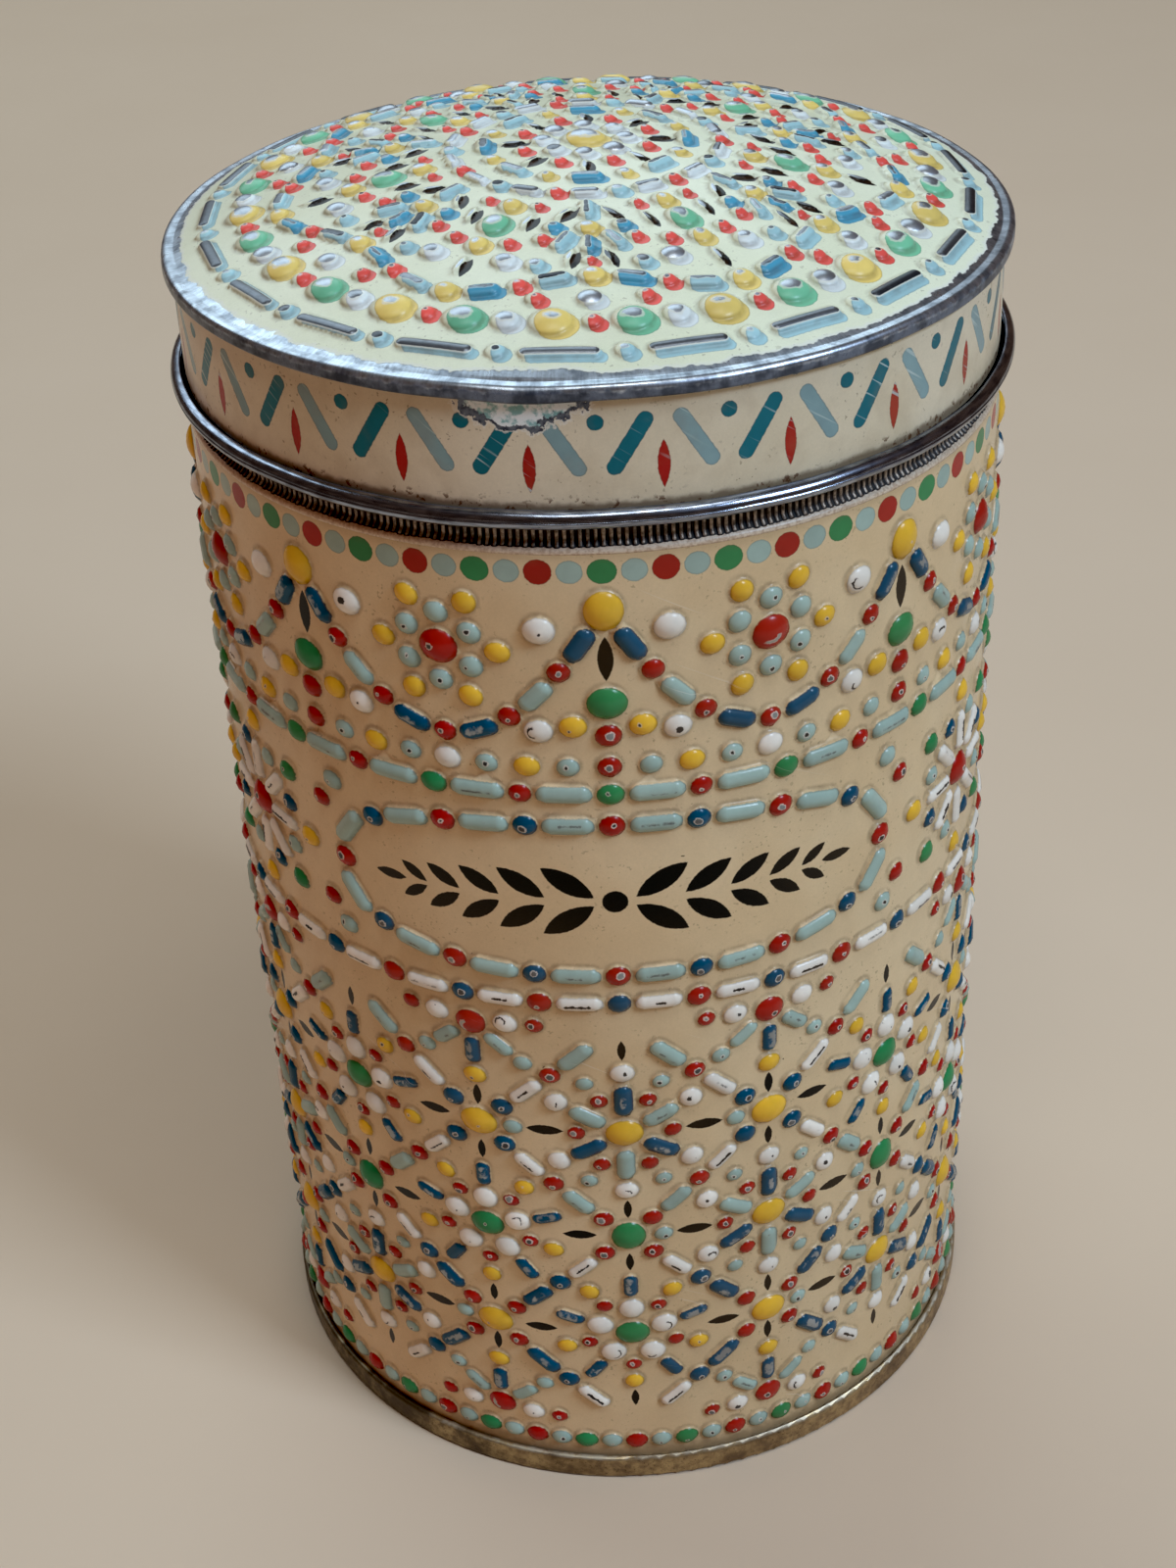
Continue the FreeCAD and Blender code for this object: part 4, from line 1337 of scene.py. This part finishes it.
        # bare line right under the rim all round
        top = t.add(z, t.add(t.mul(t.add(t.noise(.45, 4, .6), -.5), 1.7), t.mul(t.add(fine, -.5), .4)))
        e = t.op("MINIMUM", e, t.step(top, 146.35, 145.85, .8, 2.0))
        lost = t.step(e, 1.0, .93)
        halo = t.mul(t.step(e, 1.16, 1.03), t.step(lost, 1.0, .3))
        paint = t.mix(t.mul(halo, .8), paint, lin(228, 224, 210))
        core2 = t.step(t.add(e, t.mul(t.add(t.noise(.75, 3), -.5), .8)), .74, .62)
        front = t.mul(t.step(arc, -15.5, -13.0), t.step(arc, .8, -1.6))
        scraped = t.mul(core2, front)
        under = t.mix(t.step(t.noise(1.4, 3), .35, .65), lin(74, 76, 88), lin(116, 122, 134))
        flake = t.mix(t.step(t.noise(.95, 3), .45, .62), lin(236, 245, 246), lin(140, 186, 186))
        under = t.mix(t.mul(scraped, t.step(t.noise(1.7, 3), .26, .36)), under, flake)
        paint = t.mix(lost, paint, under)
        metal_k = t.mul(lost, t.op("MULTIPLY_ADD", scraped, -.6, .7))
        rough = t.lerp(lost, rough, .42)
        height = t.add(height, t.mul(lost, -1.0))
    return t.shade(paint, rough, metal_k, height, .035, .55, .30)


def curl_steel():
    t = Tree("curled_edge_steel")
    streak = t.noise(1.0, 3, .5, t.stretched(.5, .5, 6))
    blot = t.noise(.4, 3)
    c = t.mix(t.step(streak, .35, .65), lin(166, 174, 190), lin(122, 128, 142))
    c = t.mix(t.mul(t.step(blot, .5, .72), .55), c, lin(84, 82, 90))
    pit = t.step(t.noise(2.8, 2), .68, .74)
    c = t.mix(t.mul(pit, .7), c, lin(44, 36, 30))
    # dirt in the slot above the curl, and painted shade on the curl's underside
    slot = t.step(t.add(t.z, t.mul(t.add(blot, -.5), .25)), 134.98, 135.16)
    inner = t.step(t.op("SQRT", t.add(t.mul(t.x, t.x), t.mul(t.y, t.y))), 45.15, 44.75)
    c = t.mix(t.mul(t.mul(slot, inner), .9), c, lin(60, 42, 26))
    # the curl's underside darker: painted shade
    below = t.step(t.z, 133.75, 133.4)
    c = t.mix(t.mul(below, .6), c, lin(50, 42, 42))
    r = t.add(t.add(t.mul(streak, .12), t.mul(blot, .10)), .10)
    r = t.lerp(t.mul(slot, inner), r, .6)
    return t.shade(c, r, t.op("MULTIPLY_ADD", t.mul(slot, inner), -.8, 1.0), streak, .006, .4)


def inside_tin():
    t = Tree("inside_tin")
    big, med, fine = t.noise(.07, 3), t.noise(.6, 4, .6), t.noise(3.5, 2)
    c = t.mix(t.step(big, .35, .68), lin(178, 172, 160), lin(150, 142, 128))
    c = t.mix(t.mul(t.step(med, .50, .72), .5), c, lin(112, 96, 76))
    c = t.mix(t.mul(t.step(fine, .62, .74), .35), c, lin(70, 58, 46))
    tea = t.step(t.add(t.z, t.mul(t.add(big, -.5), 30)), 40, 4)
    c = t.mix(t.mul(tea, .45), c, lin(92, 70, 46))
    r = t.add(t.mul(med, .3), .26)
    return t.shade(c, r, .85, t.add(fine, med), .008, .4)


def neck_tin():
    t = Tree("neck_tin")
    z = t.z
    med, fine = t.noise(.6, 4, .6), t.noise(3.0, 2)
    rub = t.noise(1.0, 3, .6, t.stretched(.35, .35, 3.2))
    c = t.mix(t.step(rub, .38, .64), lin(182, 178, 168), lin(132, 124, 112))
    c = t.mix(t.mul(t.step(med, .56, .74), .6), c, lin(104, 82, 58))
    # lacquer runs over the shoulder and stops in a worn edge
    low = t.add(z, t.mul(t.add(med, -.5), .35))
    coat = t.step(low, 131.36, 131.16)
    lac = t.mix(t.step(fine, .35, .70), lin(222, 204, 180), lin(192, 166, 140))
    c = t.mix(coat, c, lac)
    # a dark band behind the ribs and under the lid: dirt and painted shade between the parts
    grime_and_shade = t.mul(t.step(z, 131.0, 131.3), t.step(z, 135.2, 134.4))
    c = t.mix(t.mul(grime_and_shade, .9), c, lin(34, 26, 20))
    lipw = t.step(z, 147.1, 147.5)
    c = t.mix(t.mul(lipw, .5), c, lin(206, 204, 198))
    m = t.mul(t.op("SUBTRACT", 1.0, coat), t.op("MULTIPLY_ADD", grime_and_shade, -.8, .92))
    return t.shade(c, t.add(t.mul(rub, .26), .24), m, t.add(rub, fine), .01, .4)


def rib_tin():
    t = Tree("neck_rib_tin")
    k = t.value("crest")
    med, fine = t.noise(.5, 4, .6), t.noise(2.6, 3)
    c = t.mix(t.step(fine, .36, .66), lin(186, 170, 152), lin(122, 106, 92))
    c = t.mix(t.mul(t.step(med, .52, .72), .65), c, lin(84, 62, 44))
    # dark valleys between the ribs: grime and painted shade
    valley = t.step(t.add(k, t.mul(t.add(fine, -.5), .55)), .62, .24)
    c = t.mix(valley, c, t.mix(med, lin(20, 15, 13), lin(54, 42, 35)))
    # the ribs' upper part darker, under the lid's curl: painted shade
    upper = t.step(t.z, 132.7, 133.2)
    c = t.mix(t.mul(upper, .55), c, lin(62, 46, 34))
    c = t.mix(t.mul(t.step(t.noise(.85, 3, .6), .46, .62), .62), c, lin(34, 26, 21))
    return t.shade(c, t.op("MULTIPLY_ADD", valley, .20, .44), t.op("MULTIPLY_ADD", valley, -.30, .35), fine, .012, .4)


def base_tin():
    t = Tree("base_tin")
    r = t.op("SQRT", t.add(t.mul(t.x, t.x), t.mul(t.y, t.y)))
    big, med, fine = t.noise(.12, 3), t.noise(.7, 4, .62), t.noise(3.0, 3)
    c = t.mix(t.step(med, .36, .66), lin(186, 162, 122), lin(138, 113, 82))
    c = t.mix(t.mul(t.step(big, .45, .65), .55), c, lin(122, 96, 72))
    c = t.mix(t.mul(t.step(fine, .58, .72), .65), c, lin(66, 50, 38))
    # darker tarnish in long patches, and painted shade that darkens the left side
    tarnish_and_shade = t.step(t.add(t.add(big, t.mul(med, .25)), t.mul(t.step(t.x, -2.0, -36.0), .36)), .60, .96)
    c = t.mix(t.mul(tarnish_and_shade, .78), c, lin(56, 42, 31))
    # rubbed bright along the seam's upper edge, with a painted highlight there that fades where the tarnish and the
    # painted shade are, and rubbed where it stands
    crown = t.mul(t.step(t.z, 3.05, 3.35), t.step(t.add(med, t.mul(fine, .4)), .45, .80))
    crown = t.mul(t.mul(crown, t.step(r, 44.7, 44.9)), t.step(tarnish_and_shade, .95, .25))
    c = t.mix(t.mul(crown, .85), c, lin(198, 186, 164))
    stand = t.mul(t.step(t.z, .35, .05), t.step(fine, .40, .60))
    c = t.mix(t.mul(stand, .6), c, lin(150, 138, 120))
    # the panel, inside and underneath
    panel = t.step(r, 43.9, 43.4)
    pan = t.mix(t.step(med, .38, .66), lin(160, 150, 132), lin(108, 92, 72))
    pan = t.mix(t.mul(t.step(fine, .60, .72), .5), pan, lin(60, 46, 34))
    c = t.mix(panel, c, pan)
    rough = t.add(t.add(t.mul(med, .28), t.mul(fine, .12)), .26)
    return t.shade(c, rough, t.op("MULTIPLY_ADD", t.step(med, .45, .70), -.45, .85), t.add(med, fine), .02, .5)


def pale_floor():
    t = Tree("pale_floor")
    n = t.noise(.012, 3)
    c = t.mix(n, lin(216, 193, 167), lin(222, 200, 175))
    t.shade(c, t.add(t.mul(t.noise(.2, 2), .1), .62), 0.0, t.noise(.8, 2), .01, .2, .3)
    # it runs out into the backdrop
    far = t.step(t.op("SQRT", t.add(t.mul(t.x, t.x), t.mul(t.y, t.y))), 650.0, 1700.0)
    both = t.put("ShaderNodeMixShader")
    t.join(far, both.inputs[0])
    t.join(t.out.inputs[0].links[0].from_socket, both.inputs[1])
    t.join(t.put("ShaderNodeBsdfTransparent").outputs[0], both.inputs[2])
    t.join(both.outputs[0], t.out.inputs[0])
    return t.mat


def pale_backdrop():
    t = Tree("pale_backdrop")
    c = t.mix(t.noise(.0002, 2), lin(180, 168, 151), lin(188, 176, 159))
    t.join(t.put("ShaderNodeEmission", {"Color": c}).outputs[0], t.out.inputs[0])
    return t.mat


wall_m, lid_m, skirt_m = printed("printed_wall", "wall"), printed("printed_lid", "lid"), printed("printed_skirt", "skirt")
inside_m, curl_m, neck_m, rib_m, base_m = inside_tin(), curl_steel(), neck_tin(), rib_tin(), base_tin()

# ---- pieces --------------------------------------------------------------------
wall = build_wall([wall_m, inside_m])
neck = build_neck([neck_m, inside_m])
ribs = build_ribs([rib_m])
skirt = build_skirt([skirt_m, curl_m, inside_m])
top = build_top([lid_m, inside_m])
for ob, body, node in ((wall, "caddy", "body_wall"), (neck, "caddy", "body_wall"), (ribs, "caddy", "body_wall"),
                       (skirt, "lid", "lid_skirt"), (top, "lid", "lid_dome")):
    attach(ob, body)
    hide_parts(node)
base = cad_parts["base_disc"]
base.data.materials.clear()
base.data.materials.append(base_m)
for poly in base.data.polygons:
    poly.material_index = 0

# ---- floor and light -------------------------------------------------------------
fm = bpy.data.meshes.new("floor")
fm.from_pydata([(-4, -4, 0), (4, -4, 0), (4, 6, 0), (-4, 6, 0)], [], [(0, 1, 2, 3)])
floor = bpy.data.objects.new("floor", fm)
bpy.context.scene.collection.objects.link(floor)
fm.materials.append(pale_floor())
bm = bmesh.new()
bmesh.ops.create_uvsphere(bm, u_segments=48, v_segments=24, radius=8.0)
dm = bpy.data.meshes.new("backdrop")
bm.to_mesh(dm)
bm.free()
backdrop = bpy.data.objects.new("backdrop", dm)
bpy.context.scene.collection.objects.link(backdrop)
dm.materials.append(pale_backdrop())
backdrop.visible_diffuse = backdrop.visible_glossy = backdrop.visible_shadow = backdrop.visible_transmission = False


def lamp(name, at, to, size, power, colour):
    d = bpy.data.lights.new(name, "AREA")
    d.shape = "RECTANGLE"
    d.size, d.size_y = size
    d.energy = power
    d.color = colour
    o = bpy.data.objects.new(name, d)
    o.location = at
    o.rotation_euler = (Vector(to) - Vector(at)).to_track_quat("-Z", "Y").to_euler()
    bpy.context.scene.collection.objects.link(o)
    return o


lamp("right", (.68, -.50, .86), (0, 0, .08), (.32, .30), 6.2, (.77, 1.0, 1.30))
lamp("over", (.07, -.30, 1.08), (0, 0, .10), (.55, .32), 2.85, (.90, .96, .97))
lamp("sky", (-.30, .82, .90), (0, 0, .14), (1.3, .8), 6.5, (.76, .94, 1.04))
glow = lamp("fill", (-.80, -.42, .26), (0, 0, .08), (.5, .4), .62, (1.0, .22, .04))
glow.visible_glossy = False
near = bpy.data.collections.new("lit_by_fill")
for ob in (wall, neck, ribs, skirt, top):
    near.objects.link(ob)
glow.light_linking.receiver_collection = near
world = bpy.data.worlds.new("studio")
world.use_nodes = True
bg = world.node_tree.nodes.get("Background") or world.node_tree.nodes.new("ShaderNodeBackground")
bg.inputs[0].default_value = (1.0, .60, .40, 1)
bg.inputs[1].default_value = .098
bpy.context.scene.world = world
seen = bpy.context.scene.view_settings
seen.view_transform = "Standard"
seen.use_curve_mapping = True
seen.curve_mapping.black_level = (.011, .0095, .0085)
seen.curve_mapping.update()
